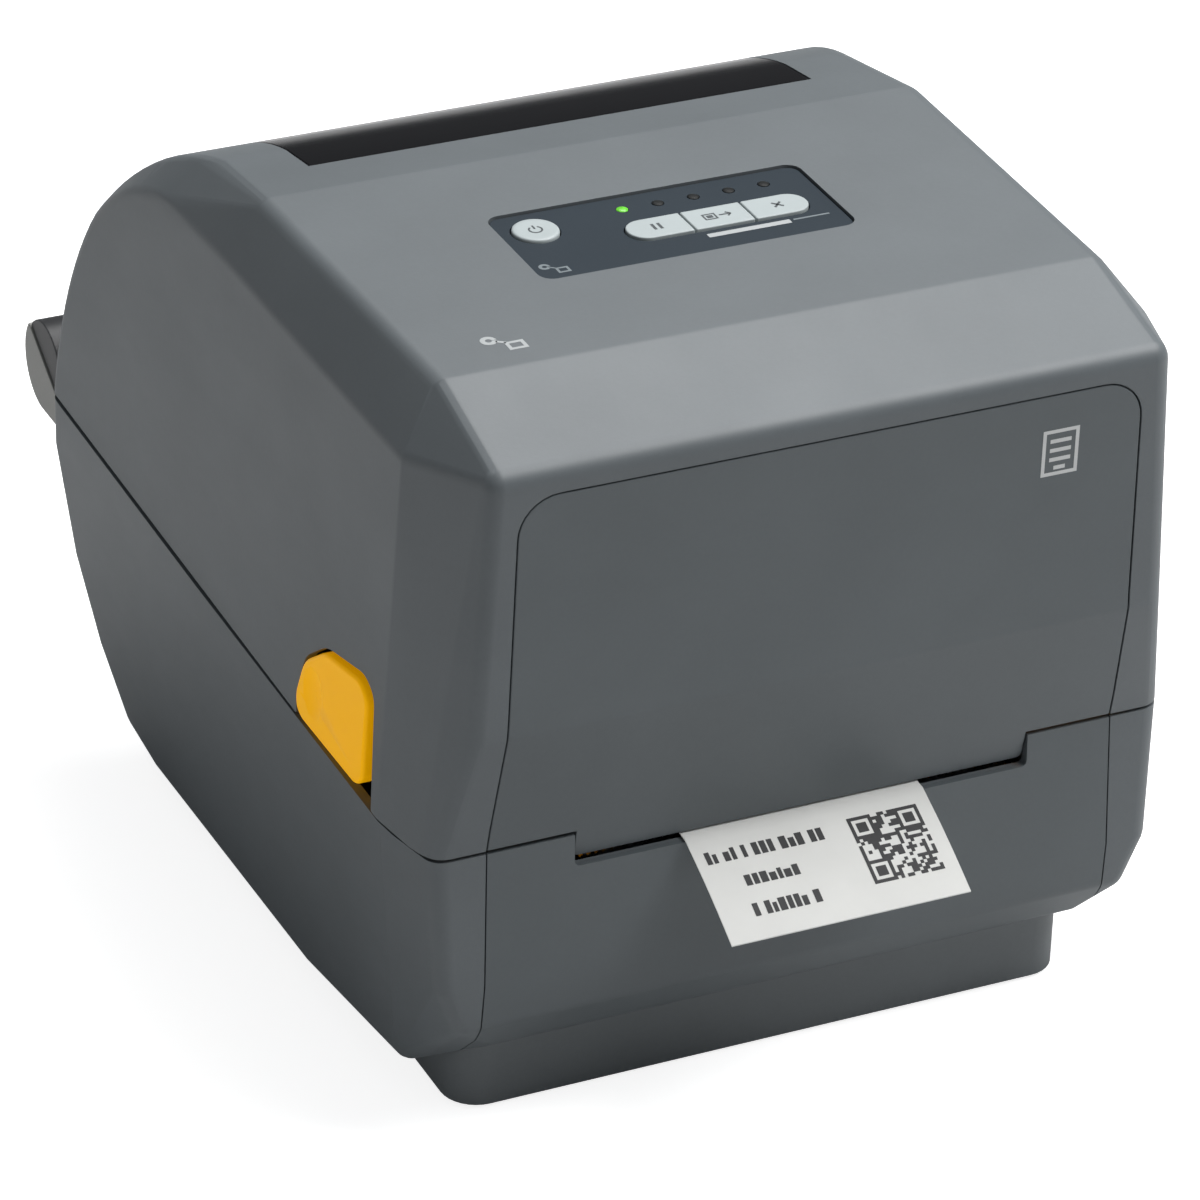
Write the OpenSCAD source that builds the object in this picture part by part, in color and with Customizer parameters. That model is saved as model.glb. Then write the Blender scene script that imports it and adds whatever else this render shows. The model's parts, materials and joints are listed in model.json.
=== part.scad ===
// Desktop label printer with a clamshell lid: a thermal-transfer mechanism that
// feeds a roll of labels forward, over a platen roller and out of the front.
// X is the width, +Y points to the back, +Z points up, and z = 0 is the table.
// The origin is the middle of the footprint that includes the printed label.

/* [Casing] */
// Width of the casing at its widest, along the line where lid and base meet
body_w = 201; // [196:1:210]
// Height of the flat top above the table
top_z = 191; // [188:1:194]
// Wall thickness of the casing
wall = 2.5; // [2:0.1:3]
// Radius on the outer edges of the casing
edge_r = 5; // [4:0.5:6]
// Gap left between lid and base all round
split_gap = 0.8; // [0.6:0.1:1.2]
// Width of the notch that the label comes out of
exit_w = 118.6; // [112:0.2:120]

/* [Label stock] */
// Width of the label stock
web_w = 66; // [50:1:66]
// Radius of the roll of labels
roll_r = 48; // [35:1:48]
// Width of one label
label_w = 62.4; // [46:0.2:62.4]
// How far the printed label reaches from the slot, along Y
label_reach = 29; // [20:0.5:29]

/* [Mechanism] */
// Radius of the platen roller
platen_r = 8.5; // [8:0.1:8.5]
// Width that the printhead and the platen cover
print_w = 116; // [110:1:116]
// Radius of the ribbon on its supply core
ribbon_r = 17; // [10:1:18]

/* [Controls] */
// Width of the control panel
panel_w = 81; // [78:0.5:84]
// Depth of the control panel, along Y
panel_d = 33.5; // [32:0.5:35]
// Diameter of the power key
power_d = 11.5; // [10:0.5:12.5]
// How far a key stands above the control panel
key_proud = 0.7; // [0.6:0.05:1]

/* [Hidden] */

big = 400;
clear = 0.4;
run_fit = 0.05;
$fn = 48;
soft_fn = 12;

// Casing: places along Y and Z that its outline passes through
half_w = body_w / 2;
shoulder_x = half_w - 5;
flat_x = half_w - 18;
front_y = -122;
split_front_y = -114.5;
side_crease_y = -94.6;
flat_front_y = -89;
flat_rear_y = 9;
split_front_z = 81;
split_tilt = 2;
crease_z = 115;
shoulder_z = 176.5;
rear_arc_y = 20;
rear_arc_z = 84;
rear_arc_ry = 98.5;
rear_arc_rz = 104.5;
rear_y = 142.5;

// Lid outline: centres of the edge spheres on the right half
lid_front = [
  [half_w - 9, split_front_y + edge_r + 2.4, split_front_z - 11],
  [half_w - 15, front_y + edge_r, crease_z],
  [half_w - 18.2, front_y + edge_r, top_z - 12.5],
  [half_w - edge_r, side_crease_y + 1, split_front_z - 11],
  [shoulder_x - edge_r, side_crease_y + 1, shoulder_z - 2],
  [flat_x - 2, flat_front_y + 1, top_z - edge_r],
  [flat_x, flat_rear_y, top_z - edge_r],
  [shoulder_x - edge_r, flat_rear_y, shoulder_z - 2]
];
function rear_arc(t, x) = [
  x, rear_arc_y + (rear_arc_ry - edge_r) * sin(t), rear_arc_z + (rear_arc_rz - edge_r) * cos(t)
];
function side_lean(z) = (z - split_front_z) * (half_w - shoulder_x) / (shoulder_z - split_front_z);
// Bevel along the upper corner of the rear curve, narrower further down
function rear_bevel(t) = max(8 - (t - 12) * 0.2, 0);
lid_rear = [
  for (t = [12:13:90], low = [0, 1])
    let (p = rear_arc(t, 0))
      [
        half_w - edge_r - max(side_lean(p[2]), 0) - (1 - low) * rear_bevel(t),
        p[1],
        p[2] - low * rear_bevel(t)
      ]
];
lid_points = concat(lid_front, lid_rear, [[half_w - edge_r, rear_arc_y + rear_arc_ry - edge_r, 70]]);

// Base outline: centres of the edge spheres on the right half
base_points = [
  [half_w - 9, split_front_y + edge_r, 96],
  [half_w - 11, front_y + 4.2 + edge_r, 46],
  [half_w - 15, front_y + 5 + edge_r, 35],
  [half_w - 23, front_y + 9 + edge_r, 28],
  [half_w - edge_r, side_crease_y + 1, 96],
  [half_w - 9, side_crease_y - 1, 35],
  [half_w - 11, side_crease_y + 1, 18.5],
  [half_w - 11, -40, 11.5],
  [half_w - 11, 60, 10],
  [half_w - 11, 78, 12.5],
  [half_w - 8.5, 90, 28.5],
  [half_w - 6.5, 102, 49],
  [half_w - edge_r, 111.5, 76],
  [half_w - edge_r, 112, 96]
];

// Label stock and platen, all on lines along X
platen_y = -97;
platen_z = 66;
roll_y = 22;
roll_z = 68;
web_t = 0.4;
web_gap = 0.4;
slot_y = split_front_y + 1;
slot_z = 72.3;
slot_h = 1.4;
label_drop = 13.6;
label_t = 0.3;
core_r = 15;
core_bore_r = 12.7;

lid_inner_z = top_z - edge_r + (edge_r - wall) * cos(180 / soft_fn);

// Mechanism: side plates, deck and gear places
plate_x = 66;
plate_t = 3;
gear_m = 0.8;
gear_x = 71;
gear_t = 4;
deck_z = 69.5;
deck_t = 2.5;
platen_teeth = 30;
idler_teeth = 36;
pinion_teeth = 12;
shaft_r = 3;
bearing_r = 5;
idler_turn = -60;
pinion_turn = -30;
function pitch_r(n) = gear_m * n / 2;
idler_y = platen_y + (pitch_r(platen_teeth) + pitch_r(idler_teeth)) * cos(idler_turn);
idler_z = platen_z + (pitch_r(platen_teeth) + pitch_r(idler_teeth)) * sin(idler_turn);
pinion_y = idler_y + (pitch_r(idler_teeth) + pitch_r(pinion_teeth)) * cos(pinion_turn);
pinion_z = idler_z + (pitch_r(idler_teeth) + pitch_r(pinion_teeth)) * sin(pinion_turn);
motor_r = 17.5;

// Roll holders and media guides
holder_x = web_w / 2 + 0.6;
holder_t = 3;
rack_m = 1;
holder_teeth = 14;
guide_teeth = 10;
rack_z = 14.5;
guide_y = -48;
guide_rack_z = 62;
post_r = 1.45;
collar_r = 3;
sensor_y = -76;

// Hinge and latch
hinge_y = 130;
hinge_z = 89;
knuckle_r = rear_y - hinge_y;
knuckle_x = 86;
knuckle_t = 11.5;
lug_x = 74;
lug_t = 11.6;
lug_r = 9;
pin_r = 3;
latch_y = -62;
latch_z = 124;
latch_shaft_r = 3;

// Lid mechanism
frame_x = 69;
frame_t = 3;
supply_y = 5;
supply_z = 158;
takeup_y = -78;
takeup_z = 150;
takeup_r = 11;
ribbon_core_r = 8.5;
ribbon_bore_r = 6.5;
ribbon_w = 110;
ribbon_t = 0.2;
takeup_teeth = 28;
ribbon_idler_teeth = 20;
ribbon_pinion_teeth = 10;
ribbon_gear_x = 75;
ribbon_idler_y = takeup_y + pitch_r(takeup_teeth) + pitch_r(ribbon_idler_teeth);
ribbon_pinion_turn = 60;
ribbon_pinion_y = ribbon_idler_y
  + (pitch_r(ribbon_idler_teeth) + pitch_r(ribbon_pinion_teeth)) * cos(ribbon_pinion_turn);
ribbon_pinion_z = takeup_z
  + (pitch_r(ribbon_idler_teeth) + pitch_r(ribbon_pinion_teeth)) * sin(ribbon_pinion_turn);
head_pivot_y = -70;
head_pivot_z = 98;
head_z = 76.2;

// Controls
panel_x = -1.2;
panel_y = -36;
panel_top = top_z - 0.6;
key_y = -37.6;
key_d = 9.6;
key_left = -13.5;
key_w = 15.4;
key_gap = 0.4;
power_x = -33;
power_y = -28.6;
led_y = -25.3;
led_x = -9;
led_pitch = 9.3;
led_n = 5;

// ---------------------------------------------------------------- helpers

// Convex form with soft edges, mirrored about X; r falls by the wall for an inner skin
module soft_form(points, r) {
  hull()
    for (p = points, s = [-1, 1])
      translate([s * p[0], p[1], p[2]]) sphere(r = r, $fn = soft_fn);
}

module lid_form(r = edge_r) soft_form(lid_points, r);

module base_form(r = edge_r) soft_form(base_points, r);

// Everything above or below the tilted plane where lid and base meet
module above_split(shift = 0)
  translate([0, split_front_y, split_front_z + shift]) rotate([split_tilt, 0, 0])
    translate([-big / 2, -big / 5, 0]) cube(big);

module below_split(shift = 0)
  translate([0, split_front_y, split_front_z + shift]) rotate([split_tilt, 0, 0])
    translate([-big / 2, -big / 5, -big]) cube(big);

// Block centred on X
module block(w, y0, y1, z0, z1)
  translate([-w / 2, y0, z0]) cube([w, y1 - y0, z1 - z0]);

// Block between two values on each axis
module slab(x0, x1, y0, y1, z0, z1)
  translate([x0, y0, z0]) cube([x1 - x0, y1 - y0, z1 - z0]);

// Rod along X from x0 to x1
module rod(x0, x1, y, z, r)
  translate([x0, y, z]) rotate([0, 90, 0]) cylinder(h = x1 - x0, r = r);

// Outline in the Y-Z plane, given as [y, z] points, extruded from x0 to x1
module side_plate(x0, x1, points)
  translate([x0, 0, 0]) rotate([90, 0, 90]) linear_extrude(x1 - x0) polygon(points);

module both_sides() {
  children();
  mirror([1, 0, 0]) children();
}

// Spur gear outline with straight-flanked teeth and a little backlash
module gear_outline(teeth, m) {
  r = m * teeth / 2;
  pitch = 360 / teeth;
  points = [
    for (i = [0:teeth - 1], c = [[-0.36, -1.2], [-0.12, 0.8], [0.12, 0.8], [0.36, -1.2]])
      let (a = (i + c[0]) * pitch, q = r + c[1] * m) [q * cos(a), q * sin(a)]
  ];
  polygon(points);
}

// Spur gear on a rod along X; turn sets the angle of its first tooth
module gear_x(x0, x1, y, z, teeth, turn, bore_r)
  translate([x0, y, z]) rotate([90, 0, 90])
    linear_extrude(x1 - x0)
      difference() {
        rotate(turn) gear_outline(teeth, gear_m);
        circle(r = bore_r);
      }

// Straight rack along X with teeth on its +Y side and one tooth centred at x = 0
module rack(x0, x1, z0, z1, back) {
  pitch = PI * rack_m;
  first = ceil((x0 + rack_m) / pitch);
  last = floor((x1 - rack_m) / pitch);
  teeth = [
    for (i = [first:last], c = [[-0.36, -1.2], [-0.12, 0.8], [0.12, 0.8], [0.36, -1.2]])
      [(i + c[0]) * pitch, c[1] * rack_m]
  ];
  translate([0, 0, z0]) linear_extrude(z1 - z0)
    polygon(concat([[x0, -back], [x0, -1.2 * rack_m]], teeth, [[x1, -1.2 * rack_m], [x1, -back]]));
}

// Strip of even height along a list of [y, z] points
module strip(points, w, t) {
  n = len(points);
  upper = [for (i = [n - 1:-1:0]) points[i] + [0, t]];
  side_plate(-w / 2, w / 2, concat(points, upper));
}

// Point where a line from p touches a circle round c, on its upper (1) or lower (-1) side
function tangent(p, c, r, side) =
  let (
    d = norm(c - p),
    a = atan2(c[1] - p[1], c[0] - p[0]) + side * asin(r / d)
  ) p + sqrt(pow(d, 2) - pow(r, 2)) * [cos(a), sin(a)];

// Rounded rectangle with its centre at the origin
module rounded(w, d, r)
  hull()
    for (sx = [-1, 1], sy = [-1, 1])
      translate([sx * (w / 2 - r), sy * (d / 2 - r)]) circle(r = r, $fn = 24);

// ---------------------------------------------------------------- base casing

// Front outline shared by the two front panels: X half width at each height
module front_outline(grow = 0) {
  corner = 10;
  bottom_x = 82.5;
  split_x = 81.3;
  knee_x = 80;
  upper_x = 79;
  top = 176;
  arc = [
    for (a = [0:15:90])
      [upper_x - corner + (corner + grow) * cos(a), top - corner + (corner + grow) * sin(a)]
  ];
  right = concat([[bottom_x + grow, 20], [split_x + grow, 88], [knee_x + grow, crease_z]], arc);
  left = [for (i = [len(right) - 1:-1:0]) [-right[i][0], right[i][1]]];
  translate([0, -60, 0]) rotate([90, 0, 0]) linear_extrude(80) polygon(concat(right, left));
}

panel_skin = 1.5;

module exit_notch(w, z, top)
  block(w, front_y - 20, split_front_y + 9, z, top);

module base_shell()
  color([0.36, 0.39, 0.41])
    difference() {
      base_form();
      base_form(edge_r - wall);
      above_split(-split_gap / 2);
      exit_notch(exit_w, slot_z, 90);
      difference() {
        front_outline(0.5);
        base_form(edge_r - panel_skin);
      }
      block(2 * pan_x + 2 * clear, pan_front - clear, pan_rear + clear, 0, 30);
      block(rear_bay_w + 2 * clear, rear_bay_y - 1, big / 2, rear_bay_z0 - clear, rear_bay_z1 + clear);
      block(fanfold_w, 100, 130, fanfold_z, fanfold_z + fanfold_h);
    }

module base_front_panel()
  color([0.31, 0.34, 0.35])
    difference() {
      intersection() {
        base_form();
        front_outline();
      }
      base_form(edge_r - panel_skin + 0.05);
      above_split(-split_gap / 2);
      exit_notch(exit_w, slot_z, 90);
      block(2 * pan_x + 2 * clear, pan_front - clear, pan_rear, 0, pan_rise + clear);
    }

pan_x = 82;
pan_front = -103;
pan_rear = 72;
pan_floor = 1.2;
pan_rise = 24;
pan_wall = 2.5;
rear_bay_w = 148;
rear_bay_y = 79;
rear_bay_z0 = 22;
rear_bay_z1 = 62;
fanfold_w = 112;
fanfold_z = 68;
fanfold_h = 6;
foot_r = 6;
foot_x = 70;
foot_y = [-90, 60];
accessory_x = 60;
accessory_y = [-80, 50];
accessory_r = 2.1;

module pan_outline(inset) {
  cut = 7;
  x = pan_x - inset;
  y0 = pan_front + inset;
  y1 = pan_rear - inset;
  polygon([
    [-x, y0 + cut], [-x + cut, y0], [x - cut, y0], [x, y0 + cut],
    [x, y1 - cut], [x - cut, y1], [-x + cut, y1], [-x, y1 - cut]
  ]);
}

module bottom_pan()
  color([0.26, 0.28, 0.29])
    difference() {
      translate([0, 0, pan_floor]) linear_extrude(pan_rise - pan_floor) pan_outline(0);
      translate([0, 0, pan_floor + pan_wall]) linear_extrude(pan_rise) pan_outline(pan_wall);
      for (sx = [-1, 1], y = accessory_y)
        translate([sx * accessory_x, y, 0]) cylinder(h = 10, r = accessory_r);
      for (sx = [-1, 1], y = foot_y)
        translate([sx * foot_x, y, 0]) cylinder(h = pan_floor + 1, r = foot_r);
      for (sx = [-1, 1], y = screw_y)
        translate([sx * screw_x, y, 0]) cylinder(h = 10, r = screw_r);
    }

screw_x = 67.5;
screw_y = [-60, 30];
screw_r = 1.6;

module rubber_feet()
  color([0.1, 0.1, 0.1])
    for (sx = [-1, 1], y = foot_y)
      translate([sx * foot_x, y, 0]) cylinder(h = pan_floor + 1, r = foot_r);

module case_screws()
  color([0.7, 0.7, 0.72])
    for (sx = [-1, 1], y = screw_y)
      translate([sx * screw_x, y, 0]) {
        translate([0, 0, pan_floor - 0.6]) cylinder(h = 0.6, r = 2.8);
        translate([0, 0, pan_floor]) cylinder(h = pan_wall + 5, r = screw_r - run_fit);
      }

module rear_panel()
  color([0.2, 0.21, 0.22])
    difference() {
      intersection() {
        base_form();
        block(rear_bay_w, rear_bay_y, big / 2, rear_bay_z0, rear_bay_z1);
      }
      block(rear_bay_w - 4, rear_bay_y + 2, big / 2, rear_bay_z0 + 2, rear_bay_z1 - 2);
      for (p = ports)
        slab(p[0] - 0.3, p[1] + 0.3, rear_bay_y - 1, rear_bay_y + 5, p[2] - 0.3, p[3] + 0.3);
      translate([inlet_x, rear_bay_y - 1, port_z]) rotate([-90, 0, 0]) cylinder(h = 5, r = inlet_r + 0.3);
    }

// Port bodies as [x0, x1, z0, z1]: USB device, USB host, network, serial
port_z = 40;
ports = [[-42, -30, 34, 45], [-20, -6.5, 37, 43.5], [6, 22.5, 33.5, 47.5], [34, 65, 34, 46.5]];
inlet_x = -58;
inlet_r = 6.5;
board_y = 75;

module data_ports()
  color([0.75, 0.76, 0.78])
    difference() {
      for (p = ports)
        slab(p[0], p[1], board_y + 1.6, rear_bay_y + 9, p[2], p[3]);
      for (p = ports)
        slab(p[0] + 1.4, p[1] - 1.4, rear_bay_y + 1, big / 2, p[2] + 1.4, p[3] - 1.4);
    }

module power_inlet()
  color([0.08, 0.08, 0.08]) {
    difference() {
      translate([inlet_x, board_y + 1.6, port_z]) rotate([-90, 0, 0]) cylinder(h = 12, r = inlet_r);
      translate([inlet_x, board_y + 4, port_z]) rotate([-90, 0, 0]) cylinder(h = 20, r = 3.2);
    }
    translate([inlet_x, board_y + 3, port_z]) rotate([-90, 0, 0]) cylinder(h = 9, r = 1.05);
  }

module main_board()
  color([0.05, 0.3, 0.15]) {
    slab(-70, 70, board_y, board_y + 1.6, 17, 61);
    slab(-6, 10, board_y - 2, board_y, 26, 42);
    slab(-44, -32, board_y - 1.6, board_y, 24, 34);
    slab(30, 46, board_y - 2, board_y, 24, 32);
  }

module hinge_knuckles()
  color([0.55, 0.55, 0.53])
    both_sides()
      difference() {
        union() {
          difference() {
            union() {
              rod(knuckle_x, knuckle_x + knuckle_t, hinge_y, hinge_z, knuckle_r);
              slab(knuckle_x, knuckle_x + knuckle_t, 105, hinge_y, hinge_z - knuckle_r, hinge_z - 3);
            }
            side_plate(knuckle_x - 1, knuckle_x + knuckle_t + 1, [
              knuckle_low, knuckle_high, [hinge_y + 14, hinge_z + 20], [100, hinge_z + 20],
              [100, knuckle_low[1]]
            ]);
          }
          rod(knuckle_x, knuckle_x + knuckle_t - 1.5, hinge_y, hinge_z, pin_r + 2.5);
        }
        base_form(edge_r + 0.1);
        rod(knuckle_x - 1, knuckle_x + knuckle_t - 2, hinge_y, hinge_z, pin_r);
      }
// Ends of the slanted flat along the top of each knuckle
knuckle_low = [117, 83.2];
knuckle_high = [144, 99.7];

module hinge_pins()
  color([0.75, 0.76, 0.78])
    both_sides() rod(lug_x, knuckle_x + knuckle_t - 2, hinge_y, hinge_z, pin_r);

module latch_catches()
  color([0.2, 0.21, 0.22])
    both_sides()
      difference() {
        union() {
          slab(half_w - 16, half_w, -55.8, -47, 60, 66);
          slab(half_w - 16, half_w - 12.4, -55.8, -47, 60, 78.5);
        }
        difference() {
          slab(half_w - 20, half_w + 10, -70, -30, 50, 90);
          base_form(edge_r - wall - 0.05);
        }
      }

// ---------------------------------------------------------------- base mechanism

module chassis()
  color([0.18, 0.19, 0.2])
    difference() {
      union() {
        both_sides()
          side_plate(plate_x, plate_x + plate_t, [
            [-107, 60], [-104, 28], [-99.5, 28], [-96, 3.7], [-30, 3.7], [-30, deck_z + deck_t],
            [-88, deck_z + deck_t], [-90, 76], [-103, 76], [-107, 72]
          ]);
        block(2 * plate_x, -86, -30, deck_z, deck_z + deck_t);
        block(2 * plate_x, -86, -84, 50, deck_z);
        both_sides() slab(plate_x - 4, plate_x + 7, -66, -54, 3.7, 12);
        translate([0, guide_y, guide_rack_z - 2]) cylinder(h = deck_z + 3 - guide_rack_z, r = post_r);
        translate([0, guide_y, guide_rack_z - 2]) cylinder(h = 1.8, r = collar_r);
        rod(-gear_x - gear_t - 2, -plate_x, idler_y, idler_z, shaft_r);
      }
      for (sx = [-1, 1])
        rod(sx * (plate_x + plate_t / 2) - 2, sx * (plate_x + plate_t / 2) + 2,
            platen_y, platen_z, bearing_r);
      block(100, sensor_y - 4, sensor_y + 4, 60, 80);
      both_sides() slab(holder_x - 1, 61, guide_y - 5, guide_y + 5, 60, 80);
      rod(-plate_x - plate_t - 1, -plate_x + 1, pinion_y, pinion_z, 8);
      for (sx = [-1, 1])
        translate([sx * screw_x, screw_y[0], 0]) cylinder(h = 12, r = screw_r);
    }

tray_rear = pan_rear - pan_wall - 0.5;

module media_tray()
  color([0.18, 0.19, 0.2])
    difference() {
      union() {
        block(2 * plate_x, -26, tray_rear, 11, 13);
        both_sides() slab(plate_x - 3, plate_x, -26, tray_rear, 13, 44);
        both_sides() slab(plate_x - 4, plate_x + 7, 24, 36, 3.7, 11);
        translate([0, roll_y, 12]) cylinder(h = rack_z + 4 - 12, r = post_r);
        translate([0, roll_y, 12]) cylinder(h = rack_z - 0.2 - 12, r = collar_r);
      }
      for (sx = [-1, 1])
        translate([sx * screw_x, screw_y[1], 0]) cylinder(h = 11, r = screw_r);
    }

module tear_bar()
  color([0.78, 0.79, 0.8]) {
    teeth = 56;
    w = 112;
    points = concat(
      [[w / 2, 0], [-w / 2, 0]],
      [for (i = [0:2 * teeth]) [-w / 2 + i * w / (2 * teeth), i % 2 == 0 ? 11.6 : 12.4]]
    );
    translate([0, split_front_y + 3.6, 60]) rotate([90, 0, 0]) linear_extrude(0.8) polygon(points);
  }

module platen_bearings()
  color([0.85, 0.83, 0.75])
    for (sx = [-1, 1])
      difference() {
        rod(sx * (plate_x + plate_t / 2) - plate_t / 2, sx * (plate_x + plate_t / 2) + plate_t / 2,
            platen_y, platen_z, bearing_r);
        rod(sx * plate_x - 10, sx * plate_x + 10, platen_y, platen_z, shaft_r + run_fit);
      }

module platen_shaft()
  color([0.75, 0.76, 0.78]) rod(-gear_x - gear_t, plate_x + 6, platen_y, platen_z, shaft_r);

module platen_rubber()
  color([0.12, 0.12, 0.12])
    difference() {
      rod(-print_w / 2, print_w / 2, platen_y, platen_z, platen_r);
      rod(-print_w, print_w, platen_y, platen_z, shaft_r);
    }

module platen_gear()
  color([0.85, 0.85, 0.82])
    gear_x(-gear_x - gear_t, -gear_x, platen_y, platen_z, platen_teeth, idler_turn, shaft_r);

// The idler turns on a post that stands out of the chassis
module idler_gear()
  color([0.85, 0.85, 0.82])
    gear_x(-gear_x - gear_t, -gear_x, idler_y, idler_z, idler_teeth,
           idler_turn + 180 + 180 / idler_teeth, shaft_r + run_fit);

module motor_pinion()
  color([0.8, 0.68, 0.35])
    gear_x(-gear_x - gear_t, -gear_x, pinion_y, pinion_z, pinion_teeth, pinion_mesh, 1.5);

// Angle that puts a tooth of the pinion in a gap of the idler
idler_phase = idler_turn + 180 + 180 / idler_teeth;
pinion_mesh = pinion_turn + 180 + 180 / pinion_teeth
  + (pinion_turn - idler_phase) * idler_teeth / pinion_teeth;

module stepper_motor()
  color([0.3, 0.31, 0.32]) {
    rod(-plate_x, -plate_x + 24, pinion_y, pinion_z, motor_r);
    rod(-gear_x - gear_t, -plate_x, pinion_y, pinion_z, 1.45);
  }

module label_roll()
  color([0.9, 0.9, 0.88])
    difference() {
      rod(-web_w / 2, web_w / 2, roll_y, roll_z, roll_r);
      rod(-web_w, web_w, roll_y, roll_z, core_r);
    }

module roll_core()
  color([0.62, 0.5, 0.36])
    difference() {
      rod(-web_w / 2, web_w / 2, roll_y, roll_z, core_r);
      rod(-web_w, web_w, roll_y, roll_z, core_bore_r);
    }

holder_rack_r = rack_m * holder_teeth / 2;

// Arm with a hub for the core at its top and a rack that reaches under the roll
module holder(side)
  difference() {
    union() {
      side_plate(holder_x, holder_x + holder_t, [
        [roll_y - 20, 13.5], [roll_y + 20, 13.5], [roll_y + 16, 40], [roll_y + 12, roll_z + 6],
        [roll_y, roll_z + 14], [roll_y - 12, roll_z + 6], [roll_y - 16, 40]
      ]);
      rod(holder_x - 8, holder_x, roll_y, roll_z, core_bore_r - 1);
      translate([0, roll_y - side * holder_rack_r, 0]) scale([1, side, 1])
        rack(-28, holder_x, rack_z, rack_z + 3, 4);
    }
    rod(holder_x + holder_t - 1, holder_x + holder_t + 1, roll_y, roll_z, 8);
  }

module roll_holder_right() color([0.2, 0.21, 0.22]) holder(1);

module roll_holder_left() color([0.2, 0.21, 0.22]) mirror([1, 0, 0]) holder(-1);

module pinion_z(x, y, z0, z1, teeth, turn, bore_r)
  translate([x, y, z0]) linear_extrude(z1 - z0)
    difference() {
      rotate(turn) gear_outline(teeth, rack_m);
      circle(r = bore_r);
    }

module holder_pinion()
  color([0.85, 0.85, 0.82]) pinion_z(0, roll_y, rack_z, rack_z + 3, holder_teeth, 0, 1.5);

guide_rack_r = rack_m * guide_teeth / 2;

module guide(side)
  union() {
    slab(holder_x, holder_x + 3, guide_y - 14, guide_y + 14, deck_z + deck_t + clear, 86);
    slab(holder_x, holder_x + 3, guide_y - 9.5, guide_y + 9.5, guide_rack_z, deck_z - clear);
    slab(holder_x, holder_x + 3, guide_y - 4, guide_y + 4, guide_rack_z, deck_z + deck_t + clear);
    translate([0, guide_y - side * guide_rack_r, 0]) scale([1, side, 1])
      rack(-28, holder_x + 3, guide_rack_z, guide_rack_z + 3, 4);
  }

module media_guide_right() color([0.25, 0.27, 0.28]) guide(1);

module media_guide_left() color([0.25, 0.27, 0.28]) mirror([1, 0, 0]) guide(-1);

module guide_pinion()
  color([0.85, 0.85, 0.82])
    pinion_z(0, guide_y, guide_rack_z, guide_rack_z + 3, guide_teeth, 0, 1.5);

module media_sensor()
  color([0.1, 0.35, 0.55]) {
    block(12, sensor_y - 3.5, sensor_y + 3.5, deck_z - 4, deck_z + deck_t + 1);
    block(16, sensor_y - 5.5, sensor_y + 5.5, deck_z - 6, deck_z - 0.4);
  }

web_deck = [-30, 77.4];
web_leave = tangent(web_deck, [roll_y, roll_z], roll_r + web_gap, 1);
web_top = platen_z + platen_r + web_gap;
label_z = slot_z + 0.5;
web_end = [slot_y + 6, label_z + (web_top - label_z) * 7 / (platen_y - slot_y + 1)];

module label_web()
  color([0.93, 0.92, 0.88])
    strip([web_end, [platen_y, web_top], [-80, web_top + 0.4], web_deck, web_leave], web_w, web_t);

module printed_label()
  color([0.9, 0.9, 0.88])
    side_plate(-label_w / 2, label_w / 2, [
      web_end, [slot_y - 1, label_z], [lip_y, label_z],
      [label_tip_y, label_z - label_drop], [label_tip_y, label_z - label_drop + label_t],
      [lip_y, label_z + label_t], [slot_y - 1, label_z + label_t], web_end + [0, label_t]
    ]);
lip_y = slot_y - 2.7;
label_tip_y = slot_y - label_reach;

// ---------------------------------------------------------------- lid casing

module lid_shell()
  color([0.37, 0.39, 0.4])
    difference() {
      lid_form();
      lid_form(edge_r - wall);
      difference() {
        below_split(split_gap / 2);
        exit_notch(exit_w - 2 * clear, slot_z + slot_h, 90);
      }
      difference() {
        front_outline(0.5);
        lid_form(edge_r - panel_skin);
      }
      window_pocket(clear);
      translate([panel_x, 0, 0])
        block(panel_w + 2 * clear, panel_y - panel_d / 2 - clear, panel_y + panel_d / 2 + clear,
              top_z - 10, big);
      both_sides() latch_pocket();
      both_sides() slab(lug_x - 1, knuckle_x + knuckle_t + 0.5, 100, 150, 60, hinge_z + 14);
    }

// Opening in the side wall for the latch lever, with room in front of it for the pull
module latch_pocket()
  side_plate(half_w - 12, half_w + 5, [
    [-91.5, 78], [-46, 78], [-45.5, 91], [-49.2, 101.6], [-60.8, 110.6], [-83, 114.8], [-88.6, 111.5]
  ]);

window_w = 134;
window_y = 27;
window_z = 122;

module window_pocket(grow) {
  block(window_w - 10, window_y + 5, big, window_z + 5, big);
  difference() {
    block(window_w + 2 * grow, window_y - grow, big, window_z - grow, big);
    lid_form(edge_r - panel_skin);
  }
}

module rear_window()
  color([0.1, 0.1, 0.11])
    difference() {
      intersection() {
        lid_form();
        block(window_w, window_y, big, window_z, big);
      }
      lid_form(edge_r - panel_skin + 0.05);
    }

module lid_front_panel()
  color([0.37, 0.4, 0.41])
    difference() {
      intersection() {
        lid_form();
        front_outline();
      }
      lid_form(edge_r - panel_skin + 0.05);
      difference() {
        below_split(split_gap / 2);
        exit_notch(exit_w - 2 * clear, slot_z + slot_h, 90);
      }
    }

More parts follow.
